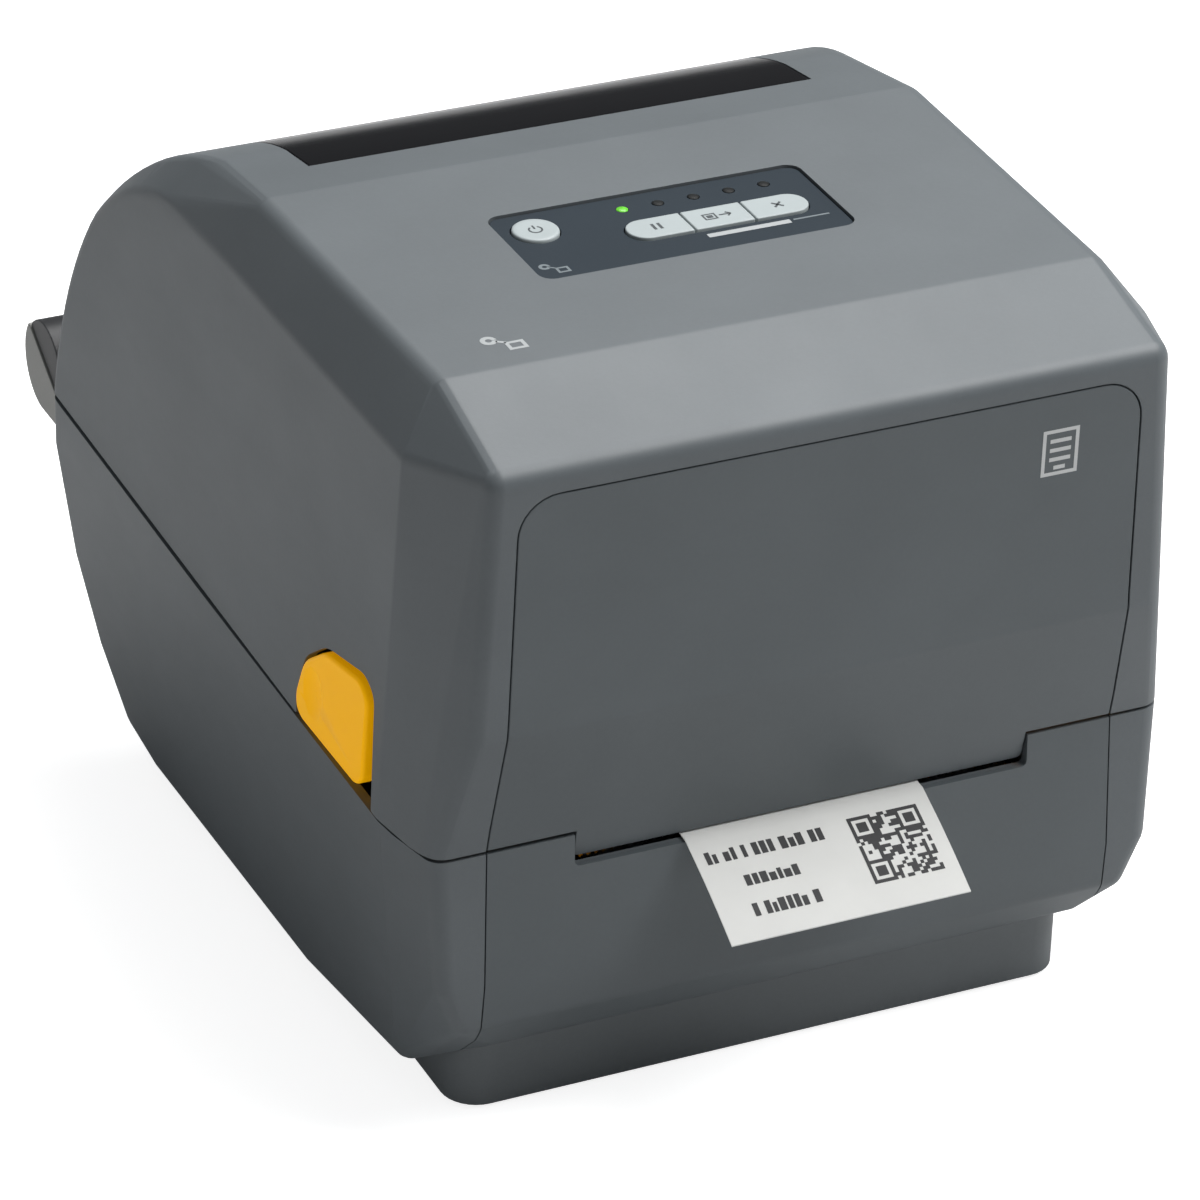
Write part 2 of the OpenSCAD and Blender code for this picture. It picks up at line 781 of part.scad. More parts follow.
module lid_hinge_arms()
  color([0.3, 0.31, 0.32])
    both_sides()
      difference() {
        union() {
          rod(lug_x, lug_x + lug_t, hinge_y, hinge_z, lug_r);
          side_plate(lug_x, lug_x + lug_t, [
            [80, 101], [80, 96], [108, 94], [118, hinge_z + 3], [124, hinge_z],
            [hinge_y, hinge_z + lug_r], [112, 101]
          ]);
          intersection() {
            slab(lug_x + lug_t, half_w, 80, 98, 96, 101);
            lid_form(edge_r - wall - 0.02);
          }
        }
        rod(lug_x - 1, lug_x + lug_t + 1, hinge_y, hinge_z, pin_r + run_fit);
      }

// ---------------------------------------------------------------- controls

module control_panel()
  color([0.25, 0.28, 0.3])
    difference() {
      union() {
        translate([panel_x, panel_y, lid_inner_z - 1]) linear_extrude(panel_top - lid_inner_z + 1)
          rounded(panel_w, panel_d, 3);
        translate([panel_x, 0, 0])
          block(panel_w + 8, panel_y - panel_d / 2 - 4, panel_y + panel_d / 2 + 4,
                lid_inner_z - 1.6, lid_inner_z);
      }
      translate([power_x, power_y, 0]) cylinder(h = big, d = power_d + 0.6);
      translate([0, 0, panel_top - 10]) linear_extrude(20) offset(delta = 0.3) key_row_outline();
      for (i = [0:led_n - 1])
        translate([led_x + i * led_pitch, led_y, 0]) cylinder(h = big, r = 1.2);
    }

module key_row_outline()
  translate([key_left + 1.5 * key_w + key_gap, key_y])
    rounded(3 * key_w + 2 * key_gap, key_d, key_d / 2 - 0.1);

key_base = panel_top - 5.4;

// One of the three keys in the row: the row's outline cut to the key's own share
module row_key(i)
  color([0.72, 0.76, 0.77]) {
    x0 = key_left + i * (key_w + key_gap);
    translate([0, 0, key_base]) linear_extrude(panel_top + key_proud - key_base)
      intersection() {
        key_row_outline();
        translate([x0, key_y - key_d]) square([key_w, 2 * key_d]);
      }
  }

module pause_key() row_key(0);

module feed_key() row_key(1);

module cancel_key() row_key(2);

module power_key()
  color([0.73, 0.77, 0.76])
    translate([power_x, power_y, key_base]) cylinder(h = panel_top + key_proud - key_base, d = power_d);

module status_leds()
  color([0.37, 0.5, 0.3])
    for (i = [0:led_n - 1])
      translate([led_x + i * led_pitch, led_y, panel_top - 4]) cylinder(h = 4.05, r = 1.2);

module control_board()
  color([0.05, 0.3, 0.15]) {
    block(panel_w, panel_y - 16, panel_y + 16, key_base - 5, key_base - 3.4);
    translate([power_x, power_y, key_base - 3.4]) cylinder(h = 2.4, r = 2.5);
    for (i = [0:2])
      translate([key_left + (i + 0.5) * key_w, key_y, key_base - 3.4]) cylinder(h = 2.4, r = 2.5);
  }

// ---------------------------------------------------------------- latch

module latch_shaft()
  color([0.75, 0.76, 0.78]) rod(-half_w + 8, half_w - 8, latch_y, latch_z, latch_shaft_r);

// Yellow tab that shows in the casing's side, its hub on the shaft and its hook
module latch_levers()
  color([0.95, 0.7, 0.1])
    both_sides()
      difference() {
        union() {
          side_plate(half_w - 8, half_w + 1.2, [
            [-86.6, 88], [-83, 85], [-51, 85], [-47.6, 86.6], [-46.8, 90.5], [-50.3, 100.6],
            [-61.5, 108.8], [-82, 112.3], [-86.4, 109.5]
          ]);
          side_plate(half_w - 12, half_w - 7, [
            [-70, 90], [-54, 90], [-56, latch_z], [-68, latch_z]
          ]);
          side_plate(half_w - 16, half_w - 12, [
            [-63, 74], [-57.5, 72], [-57.5, 78], [-59, 92], [-56, latch_z], [-68, latch_z], [-65, 92]
          ]);
          rod(half_w - 16, half_w - 7, latch_y, latch_z, 7);
        }
        rod(-half_w, half_w, latch_y, latch_z, latch_shaft_r);
      }

// ---------------------------------------------------------------- ribbon and printhead

module ribbon_frame()
  color([0.15, 0.16, 0.17])
    difference() {
      union() {
        both_sides()
          side_plate(frame_x, frame_x + frame_t, [
            [-100, 92], [-60, 88], [-30, 100], [22, 138], [26, 165], [14, 178], [-88, 178], [-100, 168]
          ]);
        block(2 * frame_x, -96, -88, 172, 178);
        block(2 * frame_x, -6, 12, 176, 178);
        block(2 * frame_x, -88, -68, 116, 119);
        both_sides() slab(frame_x - 4, frame_x + frame_t, -84, -74, 178, lid_inner_z);
        both_sides() slab(frame_x - 4, frame_x + frame_t, -4, 6, 178, lid_inner_z);
      }
      for (sx = [-1, 1]) {
        rod(sx * frame_x - 10, sx * frame_x + 10, supply_y, supply_z, 4 + run_fit);
        rod(sx * frame_x - 10, sx * frame_x + 10, takeup_y, takeup_z, 4 + run_fit);
        rod(sx * frame_x - 10, sx * frame_x + 10, latch_y, latch_z, latch_shaft_r + run_fit);
        rod(sx * (frame_x + frame_t / 2) - 1.5, sx * (frame_x + frame_t / 2) + 1.5,
            head_pivot_y, head_pivot_z, 2);
      }
      rod(frame_x - 1, frame_x + frame_t + 1, ribbon_pinion_y, ribbon_pinion_z, 4);
    }

module head_pivot_rod()
  color([0.75, 0.76, 0.78])
    rod(-frame_x - frame_t, frame_x + frame_t, head_pivot_y, head_pivot_z, 2);

spring_x = 38;
spring_y = -82;
spring_bottom = 104;
spring_top = 116;

module head_springs()
  color([0.6, 0.62, 0.64])
    for (sx = [-1, 1])
      difference() {
        translate([sx * spring_x, spring_y, spring_bottom]) cylinder(h = spring_top - spring_bottom, r = 4);
        translate([sx * spring_x, spring_y, spring_bottom - 1]) cylinder(h = 20, r = 3);
      }

module printhead()
  color([0.6, 0.62, 0.64])
    difference() {
      union() {
        side_plate(-print_w / 2 + 1, print_w / 2 - 1, [
          [-103.6, head_z + 3], [-102, head_z], [-90, head_z], [-88, 82], [-88, 104], [-96, 104], [-101, 88]
        ]);
        both_sides()
          side_plate(58, 64, [[-98, 88], [-88, 86], [-68, 92], [-64, 98], [-68, 104], [-98, 104]]);
        block(116, -90, -76, 98, 104);
      }
      rod(-80, 80, head_pivot_y, head_pivot_z, 2 + run_fit);
    }

module ribbon_motor()
  color([0.6, 0.62, 0.64]) {
    rod(40, frame_x - clear, ribbon_pinion_y, ribbon_pinion_z, 9);
    rod(frame_x - clear, ribbon_gear_x + 3, ribbon_pinion_y, ribbon_pinion_z, 0.95);
    rod(frame_x + frame_t, ribbon_gear_x + 4, ribbon_idler_y, takeup_z, 1.95);
  }

module ribbon_motor_pinion()
  color([0.8, 0.68, 0.35])
    gear_x(ribbon_gear_x, ribbon_gear_x + 3, ribbon_pinion_y, ribbon_pinion_z, ribbon_pinion_teeth,
           ribbon_pinion_mesh, 1);

module ribbon_idler()
  color([0.85, 0.85, 0.82])
    gear_x(ribbon_gear_x, ribbon_gear_x + 3, ribbon_idler_y, takeup_z, ribbon_idler_teeth,
           180 + 180 / ribbon_idler_teeth, 2);

ribbon_idler_phase = 180 + 180 / ribbon_idler_teeth;
ribbon_pinion_mesh = ribbon_pinion_turn + 180 + 180 / ribbon_pinion_teeth
  + (ribbon_pinion_turn - ribbon_idler_phase) * ribbon_idler_teeth / ribbon_pinion_teeth;

module ribbon_tube(y, z, r_in, r_out)
  difference() {
    rod(-ribbon_w / 2, ribbon_w / 2, y, z, r_out);
    rod(-ribbon_w, ribbon_w, y, z, r_in);
  }

module supply_ribbon() color([0.08, 0.08, 0.09]) ribbon_tube(supply_y, supply_z, ribbon_bore_r, ribbon_r);

module takeup_ribbon() color([0.08, 0.08, 0.09]) ribbon_tube(takeup_y, takeup_z, ribbon_bore_r, takeup_r);

// Driven end: a hub in the core and a journal through the right side plate
module spindle(y, z) {
  rod(ribbon_w / 2 - 12, ribbon_w / 2, y, z, ribbon_bore_r);
  rod(ribbon_w / 2, frame_x - 1, y, z, 10);
  rod(frame_x - 1, ribbon_gear_x, y, z, 4);
}

module supply_spindle() color([0.25, 0.4, 0.6]) spindle(supply_y, supply_z);

module takeup_spindle()
  color([0.25, 0.4, 0.6]) {
    spindle(takeup_y, takeup_z);
    gear_x(ribbon_gear_x, ribbon_gear_x + 3, takeup_y, takeup_z, takeup_teeth, 0, 0.01);
  }

// Sprung end: slides out of the core so that the ribbon can be lifted away
module hub(y, z) {
  rod(-ribbon_w / 2 - 0.3, -ribbon_w / 2 + 8, y, z, ribbon_bore_r - 0.2);
  rod(-ribbon_w / 2 - 5, -ribbon_w / 2 - 0.3, y, z, 9);
  rod(-frame_x - frame_t - 2, -ribbon_w / 2 - 5, y, z, 4);
}

module supply_hub() color([0.25, 0.4, 0.6]) hub(supply_y, supply_z);

module takeup_hub() color([0.25, 0.4, 0.6]) hub(takeup_y, takeup_z);

// Film from the underside of the supply roll, under the printhead, up to the take-up roll
film_back = [-87, head_z - 0.5];
film_front = [-107.8, head_z - 0.5];
film_leave = tangent(film_back, [supply_y, supply_z], ribbon_r + web_gap, -1);
film_arrive = tangent(film_front, [takeup_y, takeup_z], takeup_r + web_gap, 1);

module ribbon_film()
  color([0.1, 0.1, 0.11])
    side_plate(-ribbon_w / 2 + 2, ribbon_w / 2 - 2, [
      film_leave, film_back, film_front, film_arrive,
      film_arrive + [ribbon_t, 0], film_front + [ribbon_t, ribbon_t],
      film_back + [-ribbon_t / 2, ribbon_t], film_leave + [-ribbon_t, ribbon_t]
    ]);

base_shell();
base_front_panel();
bottom_pan();
rubber_feet();
case_screws();
chassis();
media_tray();
tear_bar();
platen_bearings();
stepper_motor();
main_board();
data_ports();
power_inlet();
rear_panel();
hinge_knuckles();
hinge_pins();
latch_catches();
label_web();
printed_label();
platen_shaft();
platen_rubber();
platen_gear();
idler_gear();
motor_pinion();
label_roll();
roll_core();
roll_holder_left();
roll_holder_right();
holder_pinion();
media_guide_left();
media_guide_right();
guide_pinion();
media_sensor();
lid_shell();
lid_front_panel();
rear_window();
control_panel();
control_board();
status_leds();
lid_hinge_arms();
ribbon_frame();
head_pivot_rod();
head_springs();
ribbon_motor();
ribbon_film();
power_key();
pause_key();
feed_key();
cancel_key();
latch_shaft();
latch_levers();
printhead();
supply_ribbon();
supply_spindle();
supply_hub();
takeup_ribbon();
takeup_spindle();
takeup_hub();
ribbon_idler();
ribbon_motor_pinion();
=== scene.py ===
import json
import math
import random

import bmesh
import bpy
from mathutils import Matrix, Vector


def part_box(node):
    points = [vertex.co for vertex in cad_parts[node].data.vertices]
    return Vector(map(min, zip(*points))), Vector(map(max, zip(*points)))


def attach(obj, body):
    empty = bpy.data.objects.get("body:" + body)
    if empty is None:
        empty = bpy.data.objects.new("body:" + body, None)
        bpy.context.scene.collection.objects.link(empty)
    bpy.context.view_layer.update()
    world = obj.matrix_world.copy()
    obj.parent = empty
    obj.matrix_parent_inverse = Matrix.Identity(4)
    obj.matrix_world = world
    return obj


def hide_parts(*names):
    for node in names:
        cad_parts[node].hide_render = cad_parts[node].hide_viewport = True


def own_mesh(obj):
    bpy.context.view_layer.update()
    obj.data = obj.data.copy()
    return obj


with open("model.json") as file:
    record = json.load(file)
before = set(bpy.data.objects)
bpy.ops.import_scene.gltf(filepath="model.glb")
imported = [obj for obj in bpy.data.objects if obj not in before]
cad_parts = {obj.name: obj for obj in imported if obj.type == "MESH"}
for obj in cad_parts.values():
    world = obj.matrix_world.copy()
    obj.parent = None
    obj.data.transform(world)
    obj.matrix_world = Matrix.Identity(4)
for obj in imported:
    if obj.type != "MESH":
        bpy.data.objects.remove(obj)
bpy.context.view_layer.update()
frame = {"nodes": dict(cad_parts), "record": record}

# A desktop label printer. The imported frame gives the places; this file gives the looks.
# Lengths are in millimetres, and go to metres where a mesh is made; only lights are in metres.
MM = 0.001
RNG = random.Random(7)


def box(name):
    """Lowest and highest corner of a CAD node, in millimetres."""
    low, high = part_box(name)
    return low / MM, high / MM


def centre(name):
    low, high = box(name)
    return (low + high) / 2


JOINTS = {joint["name"]: joint for joint in frame["record"]["behaviour"]["joints"]}


def axis_place(joint):
    """Where a hinge along X lies, as (y, z)."""
    return [round(value / MM, 3) for value in JOINTS[joint]["pos_m"][1:]]


# -------- materials

# Sizes of the marks on moulded plastic, and the depths of its grain and of its slow waves
CLOUD_SIZE, FLECK_SIZE, RUB_SIZE, WAVE_SIZE = 40, 1.1, 18, 14
GRAIN_DEPTH, WAVE_DEPTH, WAVE_STRENGTH = 0.03, 0.05, 0.12
FLECK_SHARE = 0.35


def shader(name):
    """New material, its tree and the Principled shader in it."""
    mat = bpy.data.materials.new(name)
    mat.use_nodes = True
    return mat, mat.node_tree, mat.node_tree.nodes["Principled BSDF"]


def fill(node, values):
    """Set inputs of a node by name."""
    for key, value in values.items():
        node.inputs[key].default_value = value


def coords(tree, stretch=(1, 1, 1), offset=(0, 0, 0)):
    """Object coordinates in millimetres, stretched along each axis."""
    where = tree.nodes.new("ShaderNodeTexCoord")
    mapping = tree.nodes.new("ShaderNodeMapping")
    fill(mapping, {"Scale": [s / MM for s in stretch], "Location": offset})
    tree.links.new(where.outputs["Object"], mapping.inputs[0])
    return mapping.outputs[0]


def noise(tree, vector, size, detail=3.0, rough=0.55):
    """Noise whose features are about size millimetres across."""
    tex = tree.nodes.new("ShaderNodeTexNoise")
    fill(tex, {"Scale": 1 / size, "Detail": detail, "Roughness": rough})
    tree.links.new(vector, tex.inputs["Vector"])
    return tex.outputs[0]


def spread(tree, value, low, high, start=0.3, end=0.7):
    """Map a 0 to 1 value on to low to high."""
    node = tree.nodes.new("ShaderNodeMapRange")
    fill(node, {"From Min": start, "From Max": end, "To Min": low, "To Max": high})
    tree.links.new(value, node.inputs["Value"])
    return node.outputs[0]


def blend(tree, factor, first, second):
    """Colour ramp between two colours."""
    ramp = tree.nodes.new("ShaderNodeValToRGB")
    ramp.color_ramp.elements[0].color = (*first, 1)
    ramp.color_ramp.elements[1].color = (*second, 1)
    tree.links.new(factor, ramp.inputs[0])
    return ramp.outputs[0]


def bump(tree, height, depth, strength, normal=None):
    """Bump of depth millimetres."""
    node = tree.nodes.new("ShaderNodeBump")
    fill(node, {"Strength": strength, "Distance": depth * MM})
    tree.links.new(height, node.inputs["Height"])
    if normal:
        tree.links.new(normal, node.inputs["Normal"])
    return node.outputs[0]


def shade(color, k):
    return tuple(min(c * k, 1) for c in color)


def dress(tree, bsdf, color, rough, normal):
    """Wire colour, roughness and normal into the shader."""
    for socket, value in (("Base Color", color), ("Roughness", rough), ("Normal", normal)):
        tree.links.new(value, bsdf.inputs[socket])


def moulded(name, color, rough=0.5, grain=0.5, grain_size=0.5, spec=0.5, vary=0.06):
    """Moulded plastic: a fine spark-eroded grain, faint mottling and handling marks."""
    mat, tree, bsdf = shader(name)
    where = coords(tree)
    cloud = noise(tree, where, CLOUD_SIZE, 4)
    fleck = noise(tree, where, FLECK_SIZE, 2)
    mixed = tree.nodes.new("ShaderNodeMath")
    mixed.operation = "MULTIPLY_ADD"
    mixed.inputs[1].default_value = FLECK_SHARE
    tree.links.new(fleck, mixed.inputs[0])
    tree.links.new(cloud, mixed.inputs[2])
    tone = spread(tree, mixed.outputs[0], 0, 1, 0.45, 0.95)
    mottled = blend(tree, tone, shade(color, 1 - vary), shade(color, 1 + vary))
    rubs = noise(tree, coords(tree, (1, 0.35, 1)), RUB_SIZE, 5, 0.7)
    fine = bump(tree, noise(tree, where, grain_size, 2), GRAIN_DEPTH, grain)
    waves = bump(tree, noise(tree, where, WAVE_SIZE, 2), WAVE_DEPTH, WAVE_STRENGTH, fine)
    dress(tree, bsdf, mottled, spread(tree, rubs, rough - 0.02, rough + 0.03), waves)
    bsdf.inputs["Specular IOR Level"].default_value = spec
    return mat


def metal(name, color, rough, along=(0.02, 1, 1), depth=0.5):
    """Drawn or brushed metal, its lines along the axis with the smallest stretch."""
    mat, tree, bsdf = shader(name)
    lines = noise(tree, coords(tree, along), 0.25, 3)
    tone = blend(tree, spread(tree, lines, 0, 1), shade(color, 0.86), shade(color, 1.08))
    stains = noise(tree, coords(tree), 9, 4)
    dress(tree, bsdf, tone, spread(tree, stains, rough - 0.07, rough + 0.1), bump(tree, lines, 0.02, depth))
    bsdf.inputs["Metallic"].default_value = 1.0
    return mat


def paper(name, color, rough=0.75, fibre=0.35):
    """Coated paper or board: short fibres and a slight tooth."""
    mat, tree, bsdf = shader(name)
    fibres = noise(tree, coords(tree, (0.4, 1.6, 1)), 0.5, 5, 0.7)
    clouds = noise(tree, coords(tree), 11, 3)
    tone = blend(tree, spread(tree, clouds, 0, 1), shade(color, 0.96), color)
    dress(tree, bsdf, tone, spread(tree, fibres, rough - 0.08, rough + 0.08), bump(tree, fibres, 0.02, fibre))
    bsdf.inputs["Specular IOR Level"].default_value = 0.35
    return mat


def wound(name, face, edge, joint, pitch, rough=0.6):
    """A roll on a joint's axis: rings on its ends from its layers, streaks round its outside."""
    mat, tree, bsdf = shader(name)
    axis_y, axis_z = axis_place(joint)
    where = coords(tree, (0, 1, 1), (0, -axis_y, -axis_z))
    length = tree.nodes.new("ShaderNodeVectorMath")
    length.operation = "LENGTH"
    tree.links.new(where, length.inputs[0])
    radius = tree.nodes.new("ShaderNodeCombineXYZ")
    tree.links.new(length.outputs["Value"], radius.inputs[0])
    rings = noise(tree, radius.outputs[0], pitch, 4, 0.8)
    tone = blend(tree, spread(tree, rings, 0, 1), edge, face)
    streaks = noise(tree, coords(tree, (1, 0.2, 0.2)), 2, 3)
    dress(tree, bsdf, tone, spread(tree, streaks, rough - 0.06, rough + 0.08), bump(tree, rings, 0.06, 0.5))
    return mat


def board_finish(name):
    """Green solder mask with faint copper runs under it."""
    mat, tree, bsdf = shader(name)
    cells = tree.nodes.new("ShaderNodeTexBrick")
    fill(cells, {
        "Scale": 0.32, "Mortar Size": 0.06, "Color1": (0.005, 0.09, 0.035, 1),
        "Color2": (0.008, 0.12, 0.05, 1), "Mortar": (0.02, 0.2, 0.09, 1),
    })
    tree.links.new(coords(tree, (1, 1, 1.7)), cells.inputs["Vector"])
    gloss = spread(tree, noise(tree, coords(tree), 5, 3), 0.24, 0.38)
    dress(tree, bsdf, cells.outputs["Color"], gloss, bump(tree, cells.outputs["Fac"], 0.04, 0.4))
    return mat


def lit_lens(name, color, power):
    """Moulded lens with the lamp behind it on."""
    mat, tree, bsdf = shader(name)
    glow = noise(tree, coords(tree), 1.2, 1)
    tone = blend(tree, spread(tree, glow, 0, 1), shade(color, 0.75), color)
    tree.links.new(tone, bsdf.inputs["Base Color"])
    tree.links.new(spread(tree, glow, 0.2, 0.34), bsdf.inputs["Roughness"])
    tree.links.new(tone, bsdf.inputs["Emission Color"])
    bsdf.inputs["Emission Strength"].default_value = power
    return mat


CASING = moulded("casing_grey", (0.118, 0.133, 0.142), 0.46, 0.55)
FRONT = moulded("front_grey", (0.098, 0.113, 0.121), 0.42, 0.35, 0.4)
FOOT = moulded("foot_grey", (0.15, 0.165, 0.173), 0.5, 0.6)
BLACK = moulded("black_moulding", (0.018, 0.019, 0.021), 0.45)
DARK = moulded("dark_moulding", (0.035, 0.038, 0.042))
TAUPE = moulded("taupe_moulding", (0.27, 0.27, 0.255), 0.5, 0.4, 0.4)
ACETAL = moulded("white_acetal", (0.72, 0.71, 0.66), 0.35, 0.2, 0.6)
HUB = moulded("blue_moulding", (0.035, 0.12, 0.30), 0.38, 0.3)
RUBBER = moulded("black_rubber", (0.022, 0.022, 0.023), 0.78, 0.8, 0.35, spec=0.3)
LATCH = moulded("amber_moulding", (1.0, 0.5, 0.0), 0.4, 0.14, 0.6, spec=0.1, vary=0.03)
# Painted light: the amber latch is given a faint emission so it glows and looks brighter than the lamps alone
# make it; it is no lamp.
LATCH_SHADER = LATCH.node_tree.nodes["Principled BSDF"]
fill(LATCH_SHADER, {"Emission Color": (1.0, 0.45, 0.0, 1), "Emission Strength": 0.34})
KEYCAP = moulded("key_grey", (0.40, 0.445, 0.45), 0.4, 0.2, 0.35, vary=0.03)
PANEL = moulded("overlay_film", (0.026, 0.036, 0.046), 0.45, 0.3, 0.22, spec=0.12, vary=0.05)
WINDOW = moulded("smoked_acrylic", (0.005, 0.005, 0.006), 0.14, 0.03, 3.0, spec=0.04, vary=0.1)
RIBBON = moulded("ribbon_black", (0.012, 0.012, 0.014), 0.22, 0.1, 2.0)
GLYPH_DARK = moulded("glyph_dark", (0.06, 0.07, 0.075), 0.45, 0.1, 0.3)
GLYPH_FAINT = moulded("glyph_faint", (0.17, 0.20, 0.215), 0.45, 0.1, 0.3)
GLYPH_LIGHT = moulded("glyph_light", (0.40, 0.42, 0.425), 0.45, 0.1, 0.3)
GLYPH_WHITE = moulded("glyph_white", (0.62, 0.63, 0.63), 0.45, 0.1, 0.3)
STEEL = metal("drawn_steel", (0.56, 0.57, 0.58), 0.27)
PLATED = metal("nickel_plate", (0.62, 0.61, 0.58), 0.24, (1, 1, 0.05), 0.2)
BRASS = metal("turned_brass", (0.74, 0.55, 0.24), 0.25)
ALUMINIUM = metal("aluminium", (0.60, 0.61, 0.62), 0.36, depth=0.35)
MOTOR = moulded("motor_black", (0.03, 0.03, 0.032), 0.32, 0.2, 0.8)
PAPER = paper("label_paper", (0.80, 0.80, 0.775))
LINER = paper("liner_paper", (0.74, 0.70, 0.58), 0.6, 0.2)
INK = paper("print_ink", (0.035, 0.035, 0.037), 0.6, 0.3)
BOARD = board_finish("solder_mask")
LED_ON = lit_lens("lens_lit", (0.12, 0.50, 0.03), 0.5)
LED_OFF = moulded("lens_dark", (0.008, 0.009, 0.009), 0.5, 0.2, 0.4, spec=0.2)


# -------- mesh helpers

def new_object(name, data):
    """Object for a mesh, camera or light, in the scene."""
    obj = bpy.data.objects.new(name, data)
    bpy.context.scene.collection.objects.link(obj)
    return obj


def to_object(name, bm, mat, soft=True, angle=28):
    """Object from a bmesh in millimetres, with smooth shading below the given angle."""
    bmesh.ops.scale(bm, vec=(MM, MM, MM), verts=bm.verts)
    bmesh.ops.recalc_face_normals(bm, faces=bm.faces)
    mesh = bpy.data.meshes.new(name)
    bm.to_mesh(mesh)
    bm.free()
    obj = new_object(name, mesh)
    mesh.materials.append(mat)
    if soft:
        smooth(obj, angle)
    return obj


def smooth(obj, angle=28):
    mesh = obj.data
    mesh.polygons.foreach_set("use_smooth", [True] * len(mesh.polygons))
    mesh.set_sharp_from_angle(angle=math.radians(angle))


def bake(obj):
    """Apply every modifier on obj."""
    graph = bpy.context.evaluated_depsgraph_get()
    mesh = bpy.data.meshes.new_from_object(obj.evaluated_get(graph))
    obj.modifiers.clear()
    obj.data = mesh


def drop(obj):
    bpy.data.objects.remove(obj)


def boolean(obj, other, operation="DIFFERENCE"):
    mod = obj.modifiers.new("cut", "BOOLEAN")
    mod.operation = operation
    mod.solver = "EXACT"
    mod.object = other
    bake(obj)
    drop(other)


def round_edges(obj, width, segments=2, limit=38, angle=28):
    """Bevel every edge sharper than limit, then weight the normals so that flats stay flat."""
    mod = obj.modifiers.new("edges", "BEVEL")
    mod.width = width * MM
    mod.segments = segments
    mod.limit_method = "ANGLE"
    mod.angle_limit = math.radians(limit)
    bake(obj)
    smooth(obj, angle)
    weigh_normals(obj)


def weigh_normals(obj):
    """Let large faces set the normals, so that the flats between rounded edges shade flat."""
    mod = obj.modifiers.new("normals", "WEIGHTED_NORMAL")
    mod.keep_sharp = True
    mod.weight = 80
    bake(obj)


def dissolve(bm, angle=0.2):
    bmesh.ops.dissolve_limit(
        bm, angle_limit=math.radians(angle), verts=bm.verts, edges=bm.edges, delimit=set()
    )


def ball(middle, r, rings=12):
    """Points on a sphere, fine enough for a smooth fillet."""
    x, y, z = middle
    points = [(x, y, z + r), (x, y, z - r)]
    for i in range(1, rings):
        a = math.pi * i / rings
        ring_r = r * math.sin(a)
        for j in range(2 * rings):
            b = math.pi * j / rings
            points.append((x + ring_r * math.cos(b), y + ring_r * math.sin(b), z + r * math.cos(a)))
    return points


def hull(name, points, mat=CASING):
    """Convex hull of points, as an object."""
    bm = bmesh.new()
    for p in points:
        bm.verts.new(p)
    found = bmesh.ops.convex_hull(bm, input=bm.verts)
    bmesh.ops.delete(bm, geom=list(set(found["geom_interior"] + found["geom_unused"])), context="VERTS")
    dissolve(bm)
    return to_object(name, bm, mat)


def skin(bm, rings, capped=True):
    """Faces between rings of vertices, and over the first and the last."""
    n = len(rings[0])
    for a, b in zip(rings, rings[1:]):
        for k in range(n):
            m = (k + 1) % n
            bm.faces.new((a[k], a[m], b[m], b[k]))
    if capped:
        bm.faces.new(rings[0])
        bm.faces.new(reversed(rings[-1]))


def prisms(name, outlines, axis, low, high, mat=CASING):
    """Outlines of 2-D points extruded along axis from low to high, as one object. The points are
    the other two coordinates in X, Y, Z order."""
    def place(p, value):
        p = list(p)
        p.insert("xyz".index(axis), value)
        return p
    bm = bmesh.new()
    for outline in outlines:
        skin(bm, [[bm.verts.new(place(p, level)) for p in outline] for level in (low, high)])
    return to_object(name, bm, mat)


def prism(name, outline, axis, low, high, mat=CASING):
    return prisms(name, [outline], axis, low, high, mat)


def cuboid(name, low, high, mat=CASING):
    corners = [(low[0], low[1]), (high[0], low[1]), (high[0], high[1]), (low[0], high[1])]
    return prism(name, corners, "z", low[2], high[2], mat)


def arc(cx, cy, r, start, end, steps):
    """Points along a circle, in degrees."""
    return [
        (cx + r * math.cos(math.radians(start + (end - start) * i / steps)),
         cy + r * math.sin(math.radians(start + (end - start) * i / steps)))
        for i in range(steps + 1)
    ]


def rounded_rect(cx, cy, w, h, r, steps=6):
    """Rectangle with round corners; r is one radius, or four from the lower right corner round."""
    radii = r if isinstance(r, tuple) else (r,) * 4
    points = []
    for radius, (sx, sy, start) in zip(radii, ((1, -1, -90), (1, 1, 0), (-1, 1, 90), (-1, -1, 180))):
        x, y = cx + sx * (w / 2 - radius), cy + sy * (h / 2 - radius)
        points += arc(x, y, radius, start, start + 90, steps)
    return points


def band(cx, cy, inner, outer, start, end):
    """Outline of a curved band from angle start to end."""
    return arc(cx, cy, outer, start, end, 20) + arc(cx, cy, inner, end, start, 20)


def bar(cx, cy, w, h, turn=0.0):
    """Outline of a bar, turned by an angle in degrees."""
    c, t = math.cos(math.radians(turn)), math.sin(math.radians(turn))
    corners = ((w / 2, -h / 2), (w / 2, h / 2), (-w / 2, h / 2), (-w / 2, -h / 2))
    return [(cx + x * c - y * t, cy + x * t + y * c) for x, y in corners]


def frame_of_bars(cx, cy, w, h, t):
    """Outlines of the four sides of a rectangular frame."""
    return [
        bar(cx, cy + h / 2 - t / 2, w, t), bar(cx, cy - h / 2 + t / 2, w, t),
        bar(cx - w / 2 + t / 2, cy, t, h - 2 * t), bar(cx + w / 2 - t / 2, cy, t, h - 2 * t),
    ]


